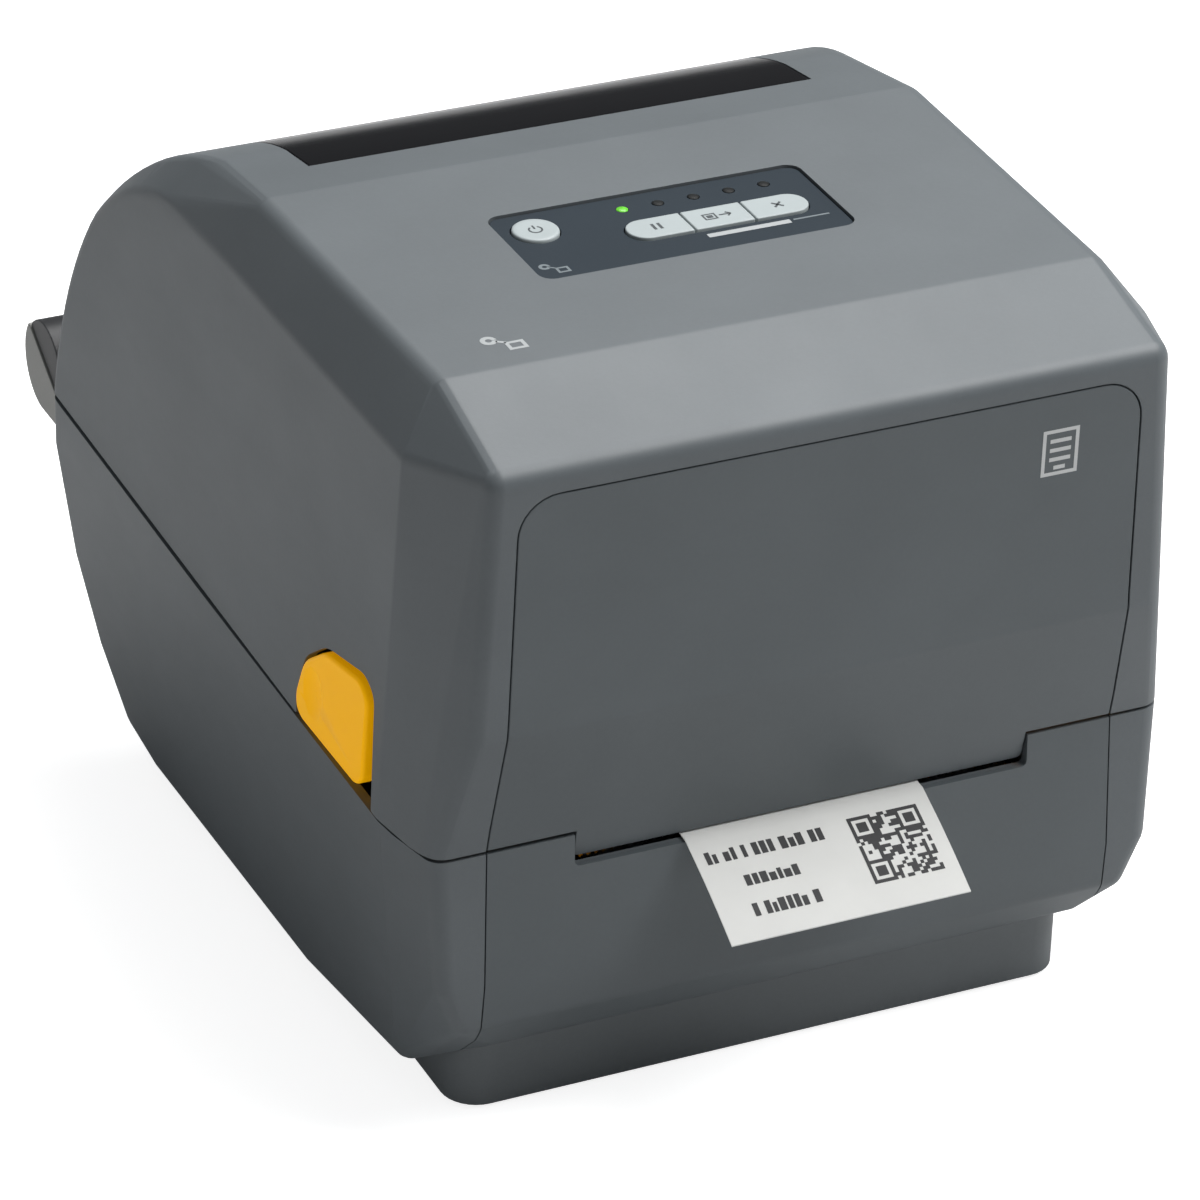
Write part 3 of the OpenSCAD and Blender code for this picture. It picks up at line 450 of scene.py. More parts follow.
def soften_outline(points, r, steps=4):
    """Round the corners of a closed outline with curves that start up to r from each corner."""
    out = []
    n = len(points)
    for i in range(n):
        p = Vector(points[i])
        a = Vector(points[i - 1]) - p
        b = Vector(points[(i + 1) % n]) - p
        reach = min(r, a.length * 0.45, b.length * 0.45)
        start = p + a.normalized() * reach
        end = p + b.normalized() * reach
        for k in range(steps + 1):
            t = k / steps
            q = start * (1 - t) ** 2 + p * 2 * t * (1 - t) + end * t ** 2
            out.append((q.x, q.y))
    return out


def lathe(name, profile, u0, v0, mat, segments=64, axis="x"):
    """Profile of (position along the axis, radius) points turned round a line along axis. The
    line's place is (u0, v0) in the other two coordinates."""
    bm = bmesh.new()
    rings = []
    for along, r in profile:
        ring = []
        for k in range(segments):
            a = 2 * math.pi * k / segments
            u, v = u0 + r * math.cos(a), v0 + r * math.sin(a)
            ring.append(bm.verts.new((along, u, v) if axis == "x" else (u, v, along)))
        rings.append(ring)
    skin(bm, rings, profile[0] != profile[-1])
    bmesh.ops.remove_doubles(bm, verts=bm.verts, dist=1e-5)
    return to_object(name, bm, mat, angle=35)


def join(name, objects):
    """Join objects into the first, keeping each one's material."""
    bm = bmesh.new()
    mats = []
    for obj in objects:
        start = len(bm.faces)
        bm.from_mesh(obj.data)
        bm.faces.ensure_lookup_table()
        mat = obj.data.materials[0]
        if mat not in mats:
            mats.append(mat)
        for face in bm.faces[start:]:
            face.material_index = mats.index(mat)
    mesh = bpy.data.meshes.new(name)
    bm.to_mesh(mesh)
    bm.free()
    for mat in mats:
        mesh.materials.append(mat)
    obj = new_object(name, mesh)
    for old in objects:
        drop(old)
    smooth(obj, 35)
    return obj


def along_x(side, inner, outer):
    """Span between two distances from the middle plane, on the side -1 or 1."""
    return sorted((side * inner, side * outer))


BODY_OF = {node: body for body, nodes in frame["record"]["behaviour"]["bodies"].items() for node in nodes}


def settle(piece, node, replace=True):
    """Put a finished piece on the body of a CAD node, and in its place."""
    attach(piece, BODY_OF[node])
    if replace:
        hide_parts(node)


# -------- casing form

# Edge radius, wall, depth of the inlays, and the gaps round and under inlays and other pieces
EDGE_R, WALL, SKIN = 5.0, 2.5, 1.5
PANEL_GAP, WINDOW_GAP, SEAT_GAP, FIT_GAP = 0.35, 0.3, 0.05, 0.4
SHELL_EASE, PANEL_EASE = 0.45, 0.4
HALF_W = box("latch_levers")[1].x - 1.2
TOP_Z = box("control_panel")[1].z + 0.6
# The shoulder between side and bevel lies LEAN further in than the split, the flat top FLAT_IN
LEAN, SHOULDER_Z = 5, TOP_Z - 14.5
FLAT_IN, FLAT_FRONT_Y, FLAT_REAR_Y = 16.5, -89.0, 9.0
FRONT_Y, FRONT_SPLIT_Y, SIDE_Y = -122.0, -114.5, -94.6
CREASE_Z = 115.0
# Lid and base meet at a plane that rises to the rear
SPLIT_Z, SPLIT_TILT, SPLIT_GAP = 81.0, math.radians(2), 0.4
# Each casing form runs on past the split, and is cut there
LID_FORM_LOW, BASE_FORM_HIGH = SPLIT_Z - 11, 96
# Ellipse of the lid's rear: middle and half axes
ARC_Y, ARC_Z, ARC_RY, ARC_RZ = 20.0, 84.0, 98.5, 104.5
ARC_START, ARC_STEP = 12, 3
# Bevel along the rear arc: width at its start, and its loss per degree
ARC_BEVEL, BEVEL_LOSS = 8, 0.2
# Longer than anything here
FAR = 300.0


def rear_arc(t):
    """Centre of the edge sphere at angle t down the rear curve, as (y, z)."""
    a = math.radians(t)
    return ARC_Y + (ARC_RY - EDGE_R) * math.sin(a), ARC_Z + (ARC_RZ - EDGE_R) * math.cos(a)


def side_lean(z):
    """How far the lid's side leans in at height z."""
    return max((z - SPLIT_Z) * LEAN / (SHOULDER_Z - SPLIT_Z), 0)


def lid_points():
    """Centres of the lid's edge spheres, as (distance in from the widest plane, y, z)."""
    points = [
        (7.6, FRONT_SPLIT_Y + EDGE_R + 1.4, LID_FORM_LOW),
        (15, FRONT_Y + EDGE_R, CREASE_Z),
        (18.2, FRONT_Y + EDGE_R, TOP_Z - 12.5),
        (EDGE_R, SIDE_Y + 1, LID_FORM_LOW),
        (EDGE_R + LEAN, SIDE_Y + 1, SHOULDER_Z - 2),
        (FLAT_IN + 2, FLAT_FRONT_Y + 1, TOP_Z - EDGE_R),
        (FLAT_IN, FLAT_REAR_Y, TOP_Z - EDGE_R),
        (EDGE_R + LEAN, FLAT_REAR_Y, SHOULDER_Z - 2),
        (EDGE_R, ARC_Y + ARC_RY - EDGE_R, LID_FORM_LOW),
    ]
    for t in range(ARC_START, 91, ARC_STEP):
        y, z = rear_arc(t)
        inset = EDGE_R + side_lean(z)
        bevel = max(ARC_BEVEL - (t - ARC_START) * BEVEL_LOSS, 0)
        points.append((inset + bevel, y, z))
        if bevel > 0:
            points.append((inset, y, z - bevel))
    return points


def base_points():
    """The same for the base: the front from the top down, then the side from the front round."""
    return [
        (9, FRONT_SPLIT_Y + EDGE_R, BASE_FORM_HIGH),
        (11, FRONT_Y + 4.2 + EDGE_R, 46),
        (15, FRONT_Y + 5 + EDGE_R, 35),
        (23, FRONT_Y + 9 + EDGE_R, 28),
        (EDGE_R, SIDE_Y + 1, BASE_FORM_HIGH),
        (9, SIDE_Y - 1, 35),
        (11, SIDE_Y + 1, 18.5),
        (11, -40, 11.5),
        (11, 60, 10),
        (11, 78, 12.5),
        (8.5, 90, 28.5),
        (6.5, 102, 49),
        (EDGE_R, 111.5, 76),
        (EDGE_R, 112, BASE_FORM_HIGH),
    ]


LID, BASE = lid_points(), base_points()


def form(name, points, r, mat=CASING):
    """Casing form: hull of edge spheres of radius r on both sides."""
    cloud = []
    for inset, y, z in points:
        for side in (-1, 1):
            cloud += ball((side * (HALF_W - inset), y, z), r)
    return hull(name, cloud, mat)


def split_z(y):
    return SPLIT_Z + (y - FRONT_SPLIT_Y) * math.tan(SPLIT_TILT)


def half_space(above, shift):
    """Block above or below the tilted plane where lid and base meet."""
    reach = FAR if above else -FAR
    front, rear = split_z(-FAR) + shift, split_z(FAR) + shift
    outline = [(-FAR, front), (FAR, rear), (FAR, rear + reach), (-FAR, front + reach)]
    return prism("cutter", outline, "x", -FAR, FAR)


# Notch in the base for the label: half width, floor, and the gap left under the lid's tongue
EXIT_X, EXIT_Z, LIP_H = 59.3, 72.3, 1.4
TONGUE_GAP = 0.4


def notch(half, low):
    """Block for the notch that the label comes out of, with small radii at its lower corners."""
    high = BASE_FORM_HIGH
    outline = soften_outline([(-half, low), (half, low), (half, high), (-half, high)], 1.6)
    return prism("cutter", outline, "y", FRONT_Y - 20, FRONT_SPLIT_Y + 9)


def front_outline(grow):
    """Front panels' outline, as (x, z) points; it narrows upwards to two round corners."""
    corner, top_x, top_z = 10, 79, 176
    sides = ((82.5, 20), (81.3, 88), (80.2, CREASE_Z - 3), (79.9, CREASE_Z + 4))
    right = [(x + grow, z) for x, z in sides]
    right += arc(top_x - corner, top_z - corner, corner + grow, 0, 90, 8)
    return right + [(-x, z) for x, z in reversed(right)]


def front_prism(grow):
    return prism("cutter", front_outline(grow), "y", FRONT_Y - 20, -60)


# The window's half width, front edge and lowest point, and the rim that holds it
WINDOW_X, WINDOW_Y, WINDOW_Z = 67.0, 27.0, 122.0
WINDOW_RIM = 5
# The control panel's flange lies under the casing; its film is FILM_GAP clear of the casing
FLANGE, FILM_GAP, FILM_R = 4.0, 0.4, 3.0
# Opening for the latch lever, as (y, z) points; it runs out through the split line
LATCH_OPENING = (
    (-91.5, 70), (-45.9, 70), (-45.9, 90.8), (-49.5, 101.2), (-60.9, 109.7), (-82.8, 114.3), (-88.5, 111.4)
)
LATCH_CORNER_R = 3.5
# Openings in the lid's rear for its hinge arms, each from ARM_INNER_X out to the side wall
ARM_INNER_X, ARM_Y, ARM_Z = 73, (100, 160), (60, 103)
# Slot in the base's rear for stock from outside, as its two corners
REAR_SLOT = ((-56, 100, 68), (56, 130, 74))


def window_block(grow):
    return cuboid("cutter", (-WINDOW_X - grow, WINDOW_Y - grow, WINDOW_Z - grow),
                  (WINDOW_X + grow, FAR, FAR))


def pocket(block, points):
    """What a block takes off a casing form, down to the depth of an inlay."""
    boolean(block, form("cutter", points, EDGE_R - SKIN))
    return block


def inlay(name, points, block, mat):
    """Panel let flush into a casing form: the form's skin inside a block."""
    panel = form(name, points, EDGE_R, mat)
    boolean(panel, block, "INTERSECT")
    boolean(panel, form("cutter", points, EDGE_R - SKIN + SEAT_GAP))
    return panel


def below_lid():
    """All that lies below the lid, less the tongue that closes the notch."""
    low = half_space(False, SPLIT_GAP)
    boolean(low, notch(EXIT_X - TONGUE_GAP, EXIT_Z + LIP_H))
    return low


def pan_space(top):
    """Space that the bottom pan needs in the base, up to a height."""
    low, high = box("bottom_pan")
    return cuboid("cutter", (low.x - FIT_GAP, low.y - FIT_GAP, 0), (high.x + FIT_GAP, high.y + FIT_GAP, top))


def build_lid():
    shell = form("lid_casing", LID, EDGE_R)
    boolean(shell, form("cutter", LID, EDGE_R - WALL))
    boolean(shell, below_lid())
    boolean(shell, pocket(front_prism(PANEL_GAP), LID))
    boolean(shell, pocket(window_block(WINDOW_GAP), LID))
    boolean(shell, window_block(-WINDOW_RIM))
    low, high = box("control_panel")
    mid = (low + high) / 2
    shrink = 2 * (FLANGE - FILM_GAP)
    opening = rounded_rect(mid.x, mid.y, high.x - low.x - shrink, high.y - low.y - shrink, FILM_R + 0.6)
    boolean(shell, prism("cutter", opening, "z", TOP_Z - 12, FAR))
    lever_hole = soften_outline(LATCH_OPENING, LATCH_CORNER_R, 6)
    for side in (-1, 1):
        boolean(shell, prism("cutter", lever_hole, "x", *along_x(side, HALF_W - 12, HALF_W + 5)))
        left, right = along_x(side, ARM_INNER_X, HALF_W - WALL)
        boolean(shell, cuboid("cutter", (left, ARM_Y[0], ARM_Z[0]), (right, ARM_Y[1], ARM_Z[1])))
    round_edges(shell, SHELL_EASE)
    settle(shell, "lid_shell")

    panel = inlay("lid_front", LID, front_prism(0), FRONT)
    boolean(panel, below_lid())
    round_edges(panel, PANEL_EASE)
    settle(panel, "lid_front_panel")

    window = inlay("smoked_window", LID, window_block(0), WINDOW)
    round_edges(window, 0.3)
    settle(window, "rear_window")


def build_base():
    shell = form("base_casing", BASE, EDGE_R)
    boolean(shell, form("cutter", BASE, EDGE_R - WALL))
    boolean(shell, half_space(True, -SPLIT_GAP))
    boolean(shell, notch(EXIT_X, EXIT_Z))
    boolean(shell, pocket(front_prism(PANEL_GAP), BASE))
    boolean(shell, pan_space(30))
    low, high = box("rear_panel")
    near, far = (low.x - FIT_GAP, low.y - 1, low.z - FIT_GAP), (high.x + FIT_GAP, FAR, high.z + FIT_GAP)
    boolean(shell, cuboid("cutter", near, far))
    boolean(shell, cuboid("cutter", *REAR_SLOT))
    round_edges(shell, SHELL_EASE)
    settle(shell, "base_shell")

    panel = inlay("base_front", BASE, front_prism(0), FRONT)
    boolean(panel, half_space(True, -SPLIT_GAP))
    boolean(panel, notch(EXIT_X, EXIT_Z))
    boolean(panel, pan_space(box("bottom_pan")[1].z + FIT_GAP))
    round_edges(panel, PANEL_EASE)
    settle(panel, "base_front_panel")


build_lid()
build_base()


# -------- controls

INK_RISE = 0.04
KEY_ROW = (box("pause_key")[0], box("cancel_key")[1])
LAMPS, LAMP_R = 5, 1.4
POWER_R = (box("power_key")[1].x - box("power_key")[0].x) / 2


def ink(name, outlines, axis, level, mat, node):
    """Thin printed marks that stand just proud of a face square to axis."""
    marks = prisms(name, outlines, axis, level - INK_RISE, level + INK_RISE, mat)
    settle(marks, node, replace=False)


def key_outline(node):
    """Outline of one of the three keys in the row; the outer two have a round end."""
    low, high = box(node)
    mid = (low + high) / 2
    d = high.y - low.y
    end, square = d / 2 - 0.1, 0.4
    left = end if node == "pause_key" else square
    right = end if node == "cancel_key" else square
    return rounded_rect(mid.x, mid.y, high.x - low.x, d, (right, right, left, left), 8)


def lamp_places():
    low, high = box("status_leds")
    r = (high.y - low.y) / 2
    pitch = (high.x - low.x - 2 * r) / (LAMPS - 1)
    return [(low.x + r + i * pitch, (low.y + high.y) / 2) for i in range(LAMPS)]


def build_film():
    """Film of the control panel, with a slot for the key row and holes for power key and lamps."""
    low, high = box("control_panel")
    mid = (low + high) / 2
    w, d = high.x - low.x - 2 * FLANGE, high.y - low.y - 2 * FLANGE
    film = prism("control_film", rounded_rect(mid.x, mid.y, w, d, FILM_R), "z", high.z - 2.6, high.z, PANEL)
    row_low, row_high = KEY_ROW
    row_mid = (row_low + row_high) / 2
    row_w, row_d = row_high.x - row_low.x + 0.6, row_high.y - row_low.y + 0.6
    power = centre("power_key")
    holes = [rounded_rect(row_mid.x, row_mid.y, row_w, row_d, row_d / 2 - 0.1, 10)]
    holes.append(arc(power.x, power.y, POWER_R + 0.3, 0, 350, 35))
    holes += [arc(x, y, LAMP_R + 0.1, 0, 345, 23) for x, y in lamp_places()]
    boolean(film, prisms("cutter", holes, "z", high.z - 9, high.z + 9))
    round_edges(film, 0.18)
    settle(film, "control_panel")


def build_keys():
    for node in ("pause_key", "feed_key", "cancel_key"):
        low, high = box(node)
        cap = prism(node + "_cap", key_outline(node), "z", low.z, high.z, KEYCAP)
        round_edges(cap, 0.42, 3, 60)
        settle(cap, node)
    power = centre("power_key")
    low, high = box("power_key")
    # The top has a round edge and a shallow dish
    top = [(0.7, 0), (0.3, 0.08), (0.08, 0.3), (0, 0.75), (0.04, 1.6)]
    profile = [(low.z, POWER_R)] + [(high.z - down, POWER_R - inward) for down, inward in top]
    profile += [(high.z - 0.12, 0.9), (high.z - 0.14, 0.02)]
    settle(lathe("power_key_cap", profile, power.x, power.y, KEYCAP, 64, "z"), "power_key")


def build_lenses():
    """Five low domes; only the first lamp is lit."""
    dome = ((-2.4, LAMP_R), (0.02, LAMP_R), (0.16, 1.15), (0.24, 0.7), (0.27, 0.02))
    panel_z = box("control_panel")[1].z
    profile = [(panel_z + dz, r) for dz, r in dome]
    lenses = []
    for i, (x, y) in enumerate(lamp_places()):
        lenses.append(lathe("lens", profile, x, y, LED_ON if i == 0 else LED_OFF, 32, "z"))
    settle(join("status_lenses", lenses), "status_leds")


def build_glyphs():
    """Plain symbols on the keys."""
    def key_ink(name, node, outlines, sunk=0.0):
        """Print outlines, drawn about (0, 0), in the middle of a key."""
        mid, level = centre(node), box(node)[1].z - sunk
        placed = [[(mid.x + x, mid.y + y) for x, y in outline] for outline in outlines]
        ink(name, placed, "z", level, GLYPH_DARK, node)

    # The power key's symbol lies in its dish
    key_ink("power_symbol", "power_key", [band(0, 0, 1.35, 1.8, 125, 415), bar(0, 1.3, 0.45, 1.7)], 0.1)
    key_ink("pause_symbol", "pause_key", [bar(x, 0, 0.75, 3.0) for x in (-0.8, 0.8)])
    feed = frame_of_bars(-2.0, 0, 3.4, 3.0, 0.45) + [bar(-2.0, 0, 1.6, 1.3), bar(1.9, 0, 3.0, 0.5)]
    feed += [bar(2.9, 0.5, 1.5, 0.45, -45), bar(2.9, -0.5, 1.5, 0.45, 45)]
    key_ink("feed_symbol", "feed_key", feed)
    key_ink("cancel_symbol", "cancel_key", [bar(0, 0, 3.2, 0.6, turn) for turn in (45, -45)])


def build_marks():
    """Generic marks for the media path, plain bars in place of words, and a label pictogram."""
    low, high = box("control_panel")
    x, y = low.x + FLANGE + 5, low.y + FLANGE + 5.4
    mark = [band(x - 1.9, y + 1.5, 0.6, 1.4, 0, 350), bar(x - 0.3, y + 0.5, 1.5, 0.5, -35)]
    mark += frame_of_bars(x + 1.7, y - 1.2, 3.2, 2.7, 0.6)
    ink("media_mark_small", mark, "z", high.z, GLYPH_FAINT, "control_panel")
    left, front, row_w = KEY_ROW[0].x, KEY_ROW[0].y, KEY_ROW[1].x - KEY_ROW[0].x
    wide = bar(left + 0.6 * row_w, front - 2.9, 0.46 * row_w, 1.8)
    thin = bar(left + 0.95 * row_w, front - 2.5, 0.2 * row_w, 0.6)
    ink("plain_bar_wide", [wide], "z", high.z, GLYPH_LIGHT, "control_panel")
    ink("plain_bar_thin", [thin], "z", high.z, GLYPH_FAINT, "control_panel")
    x, y = -63.3, -77.8
    mark = [band(x - 2.9, y + 2.1, 0.8, 2.0, 0, 350), bar(x - 0.5, y + 0.6, 2.4, 0.8, -35)]
    mark += frame_of_bars(x + 2.3, y - 1.8, 4.7, 3.9, 0.9)
    ink("media_mark_large", mark, "z", TOP_Z, GLYPH_LIGHT, "lid_shell")
    x, z = 58.2, 161.0
    mark = frame_of_bars(x, z, 9.5, 12.0, 0.9)
    mark += [bar(x, z + dz, w, 1.0) for dz, w in ((3.0, 5.5), (0.6, 5.5), (-1.8, 5.5), (-4.0, 3.0))]
    ink("label_pictogram", mark, "y", FRONT_Y, GLYPH_WHITE, "lid_front_panel")


build_film()
build_keys()
build_lenses()
build_glyphs()
build_marks()


# -------- printed label

LABEL_LOW, LABEL_HIGH = box("printed_label")
LABEL_HALF = (LABEL_HIGH.x - LABEL_LOW.x) / 2
LABEL_T = 0.3
LIP_Y, LIP_Z = FRONT_SPLIT_Y - 1.7, EXIT_Z + 0.5
FALL = math.atan2(LIP_Z - LABEL_LOW.z, LIP_Y - LABEL_LOW.y)
LABEL_LEN = (LIP_Y - LABEL_LOW.y) / math.cos(FALL)
# Lines of blocks, each as its start across, its length, its place out from the lip and its height
TEXT_LINES = ((-28.5, 31, 4.6, 3.4), (-21.5, 16, 12.6, 2.9), (-22.5, 17, 20.2, 3.4))
# The matrix: cells a side, cells a side of its corner squares, near left corner and side length
CELLS, CORNER_CELLS, MATRIX_X, MATRIX_S, MATRIX_SIZE = 21, 7, 9.0, 4.0, 18.4


def label_height(s):
    """How far the label's free part lies above the straight line from the lip to its end."""
    return 0.5 * math.sin(math.pi * s / LABEL_LEN)


def on_label(x, s, up=0.0):
    """Point on the free part of the label: x across, s out from the lip, up off its face."""
    rise = label_height(s) + up
    c, t = math.cos(FALL), math.sin(FALL)
    return (x, LIP_Y - s * c - rise * t, LIP_Z - s * t + rise * c)


def build_label():
    """Sheet from the tear bar over the lip and down to its free end."""
    path = [(LABEL_HIGH.y, LABEL_HIGH.z - LABEL_T), (-112.0, 73.3), (FRONT_SPLIT_Y, LIP_Z + 0.06)]
    path += [on_label(0, LABEL_LEN * k / 16)[1:] for k in range(17)]
    bm = bmesh.new()
    rows = []
    for y, z in path:
        rows.append([bm.verts.new((x, y, z + up)) for x, up in (
            (-LABEL_HALF, 0), (LABEL_HALF, 0), (LABEL_HALF, LABEL_T), (-LABEL_HALF, LABEL_T))])
    skin(bm, rows)
    settle(to_object("label_sheet", bm, PAPER, angle=30), "printed_label")


def matrix_mark(row, col):
    """Whether a cell of the matrix is filled: ringed squares in three corners, random cells elsewhere."""
    r, c = min(row, CELLS - 1 - row), min(col, CELLS - 1 - col)
    left, near = col < CORNER_CELLS, row < CORNER_CELLS
    if r < CORNER_CELLS and left or near and c < CORNER_CELLS:
        ring = min(r, CORNER_CELLS - 1 - r) == 0 or min(c, CORNER_CELLS - 1 - c) == 0
        return ring or 2 <= r <= 4 and 2 <= c <= 4
    return RNG.random() < 0.48


def label_marks():
    """Boxes (x0, x1, s0, s1) of print: three lines of plain blocks, and a random matrix."""
    boxes = []
    for start, length, s, h in TEXT_LINES:
        x = start
        while x < start + length - 1.2:
            w = RNG.uniform(1.0, 1.9)
            rise = RNG.choice((0, 0, 0.25)) * h
            boxes.append((x, x + w, s + rise, s + h))
            x += w + (1.7 if RNG.random() < 0.16 else 0.5)
    cell = MATRIX_SIZE / CELLS
    for row in range(CELLS):
        for col in range(CELLS):
            if matrix_mark(row, col):
                x, s = MATRIX_X + col * cell, MATRIX_S + row * cell
                boxes.append((x, x + cell, s, s + cell))
    return boxes


def build_print():
    bm = bmesh.new()
    top = LABEL_T / math.cos(FALL) * 0.9
    for x0, x1, s0, s1 in label_marks():
        layers = []
        for up in (top - INK_RISE, top + INK_RISE):
            corners = ((x0, s0), (x1, s0), (x1, s1), (x0, s1))
            layers.append([bm.verts.new(on_label(x, s, up)) for x, s in corners])
        skin(bm, layers)
    settle(to_object("label_print", bm, INK, soft=False), "printed_label", replace=False)


build_label()
build_print()


# -------- latch levers

PIVOT_Y, PIVOT_Z = axis_place("latch_release")
# Outlines of a lever's parts, as (y, z) points
TAB = (
    (-86.6, 88), (-83, 85), (-51, 85), (-47.6, 86.6), (-46.8, 90.5), (-50.3, 100.6), (-61.5, 108.8),
    (-82, 112.3), (-86.4, 109.5),
)
STEM = ((-70, 90), (-54, 90), (-56, PIVOT_Z), (-68, PIVOT_Z))
HOOK = ((-63, 74), (-57.5, 72), (-57.5, 78), (-59, 92), (-56, PIVOT_Z), (-68, PIVOT_Z), (-65, 92))
# Where tab, stem and hook meet, as distances from the middle plane
TAB_X, STEM_X, HOOK_X = HALF_W - 8, HALF_W - 12, HALF_W - 16
BOSS_R, SHAFT_R = 7, 3.05


def build_tab(side):
    """The tab that fingers press: it follows the casing, stands proud of it and has a scoop."""
    tab = prism("tab", soften_outline(TAB, 3.5, 5), "x", *along_x(side, TAB_X, HALF_W + 1.2), LATCH)
    boolean(tab, form("cutter", LID, EDGE_R + 1.0), "INTERSECT")
    round_edges(tab, 1.0, 4, 50, 40)
    boolean(tab, hull("cutter", [
        (side * (HALF_W + 2.3 + 3.6 * x), -57 + 8 * y, 96 + 9.5 * z) for x, y, z in ball((0, 0, 0), 1, 16)
    ]))
    smooth(tab, 18)
    weigh_normals(tab)
    return tab


def build_latch():
    pieces = []
    for side in (-1, 1):
        pieces.append(build_tab(side))
        for name, outline, inner, outer in (("arm", STEM, STEM_X, TAB_X), ("claw", HOOK, HOOK_X, STEM_X)):
            piece = prism(name, outline, "x", *along_x(side, inner, outer), LATCH)
            round_edges(piece, 0.5)
            pieces.append(piece)
        start, end = HOOK_X - 0.4, TAB_X + 1
        profile = (
            (start, SHAFT_R), (start, BOSS_R - 0.5), (start + 0.5, BOSS_R), (end - 0.5, BOSS_R),
            (end, BOSS_R - 0.5), (end, SHAFT_R), (start, SHAFT_R),
        )
        pieces.append(lathe("boss", [(side * x, r) for x, r in profile], PIVOT_Y, PIVOT_Z, LATCH))
    settle(join("latch_moulding", pieces), "latch_levers")


build_latch()


# -------- bottom pan, feet and screws

PAN_R, PAN_WALL, PAN_FLOOR = 9, 2.5, 2.5
FOOT_R, HEAD_R, SHANK_R, BOLT_R = 6.0, 2.8, 1.5, 2.1
# Holes for a base plate, as half their pitch across and their places along
BOLT_X, BOLT_Y = 60, (-80, 50)
RIB_PITCH = 22


def corner_places(node, inset):
    """Middles of four round things of radius inset that stand in the corners of a node's box."""
    low, high = box(node)
    return [(x, y) for x in (low.x + inset, high.x - inset) for y in (low.y + inset, high.y - inset)]


def build_pan():
    low, high = box("bottom_pan")
    mid = (low + high) / 2
    w, d = high.x - low.x, high.y - low.y
    pan = prism("pan_moulding", rounded_rect(mid.x, mid.y, w, d, PAN_R, 8), "z", low.z, high.z, FOOT)
    hollow = rounded_rect(mid.x, mid.y, w - 2 * PAN_WALL, d - 2 * PAN_WALL, PAN_R - PAN_WALL, 8)
    boolean(pan, prism("cutter", hollow, "z", low.z + PAN_FLOOR, FAR))
    feet = [arc(x, y, FOOT_R + 0.05, 0, 350, 35) for x, y in corner_places("rubber_feet", FOOT_R)]
    screws = [arc(x, y, SHANK_R + 0.2, 0, 345, 23) for x, y in corner_places("case_screws", HEAD_R)]
    bolts = [arc(x, y, BOLT_R, 0, 345, 23) for x in (-BOLT_X, BOLT_X) for y in BOLT_Y]
    ribs = [bar(mid.x, mid.y + k * RIB_PITCH, w - 70, 3) for k in range(-2, 3)]
    for outlines, top in ((feet, low.z + 1), (screws, 9), (bolts, 9), (ribs, low.z + 0.7)):
        boolean(pan, prisms("cutter", outlines, "z", -1, top))
    round_edges(pan, 0.7, 3)
    settle(pan, "bottom_pan")


def build_feet():
    """Rubber pads that stand on a ring round their edge and on a disc in the middle."""
    top = box("rubber_feet")[1].z
    # How far in from the rim, at each height of the underside
    under = ((0.6, 0.1), (0.15, 0.35), (0, 0.9), (0, 2.2), (0.35, 2.5), (0.35, 3.2), (0, 3.5))
    profile = [(top, 0.02), (top, FOOT_R - 0.1)] + [(z, FOOT_R - inward) for z, inward in under]
    profile.append((0, 0.02))
    pads = [lathe("pad", profile, x, y, RUBBER, 40, "z") for x, y in corner_places("rubber_feet", FOOT_R)]
    settle(join("feet_pads", pads), "rubber_feet")


def build_screws():
    """Pan-head screws, heads down, with a cross recess."""
    low, high = box("case_screws")
    z, top = low.z, high.z
    profile = [
        (z + 0.12, 0.02), (z, 1.9), (z + 0.12, HEAD_R - 0.15), (z + 0.3, HEAD_R), (z + 0.6, HEAD_R),
        (z + 0.6, SHANK_R), (top - 0.8, SHANK_R), (top, 0.9), (top, 0.02),
    ]
    heads = []
    for x, y in corner_places("case_screws", HEAD_R):
        head = lathe("screw", profile, x, y, STEEL, 32, "z")
        for w, d in ((2.6, 0.6), (0.6, 2.6)):
            boolean(head, prisms("cutter", [bar(x, y, w, d)], "z", z - 1, z + 0.45))
        heads.append(head)
    settle(join("pan_screws", heads), "case_screws")


build_pan()
build_feet()
build_screws()


# -------- hinge

HINGE_Y, HINGE_Z = axis_place("lid_hinge")
KNUCKLE_W, CAP_T, PIN_R = 11.5, 1.5, 3.05
BUSH_R = 5.45


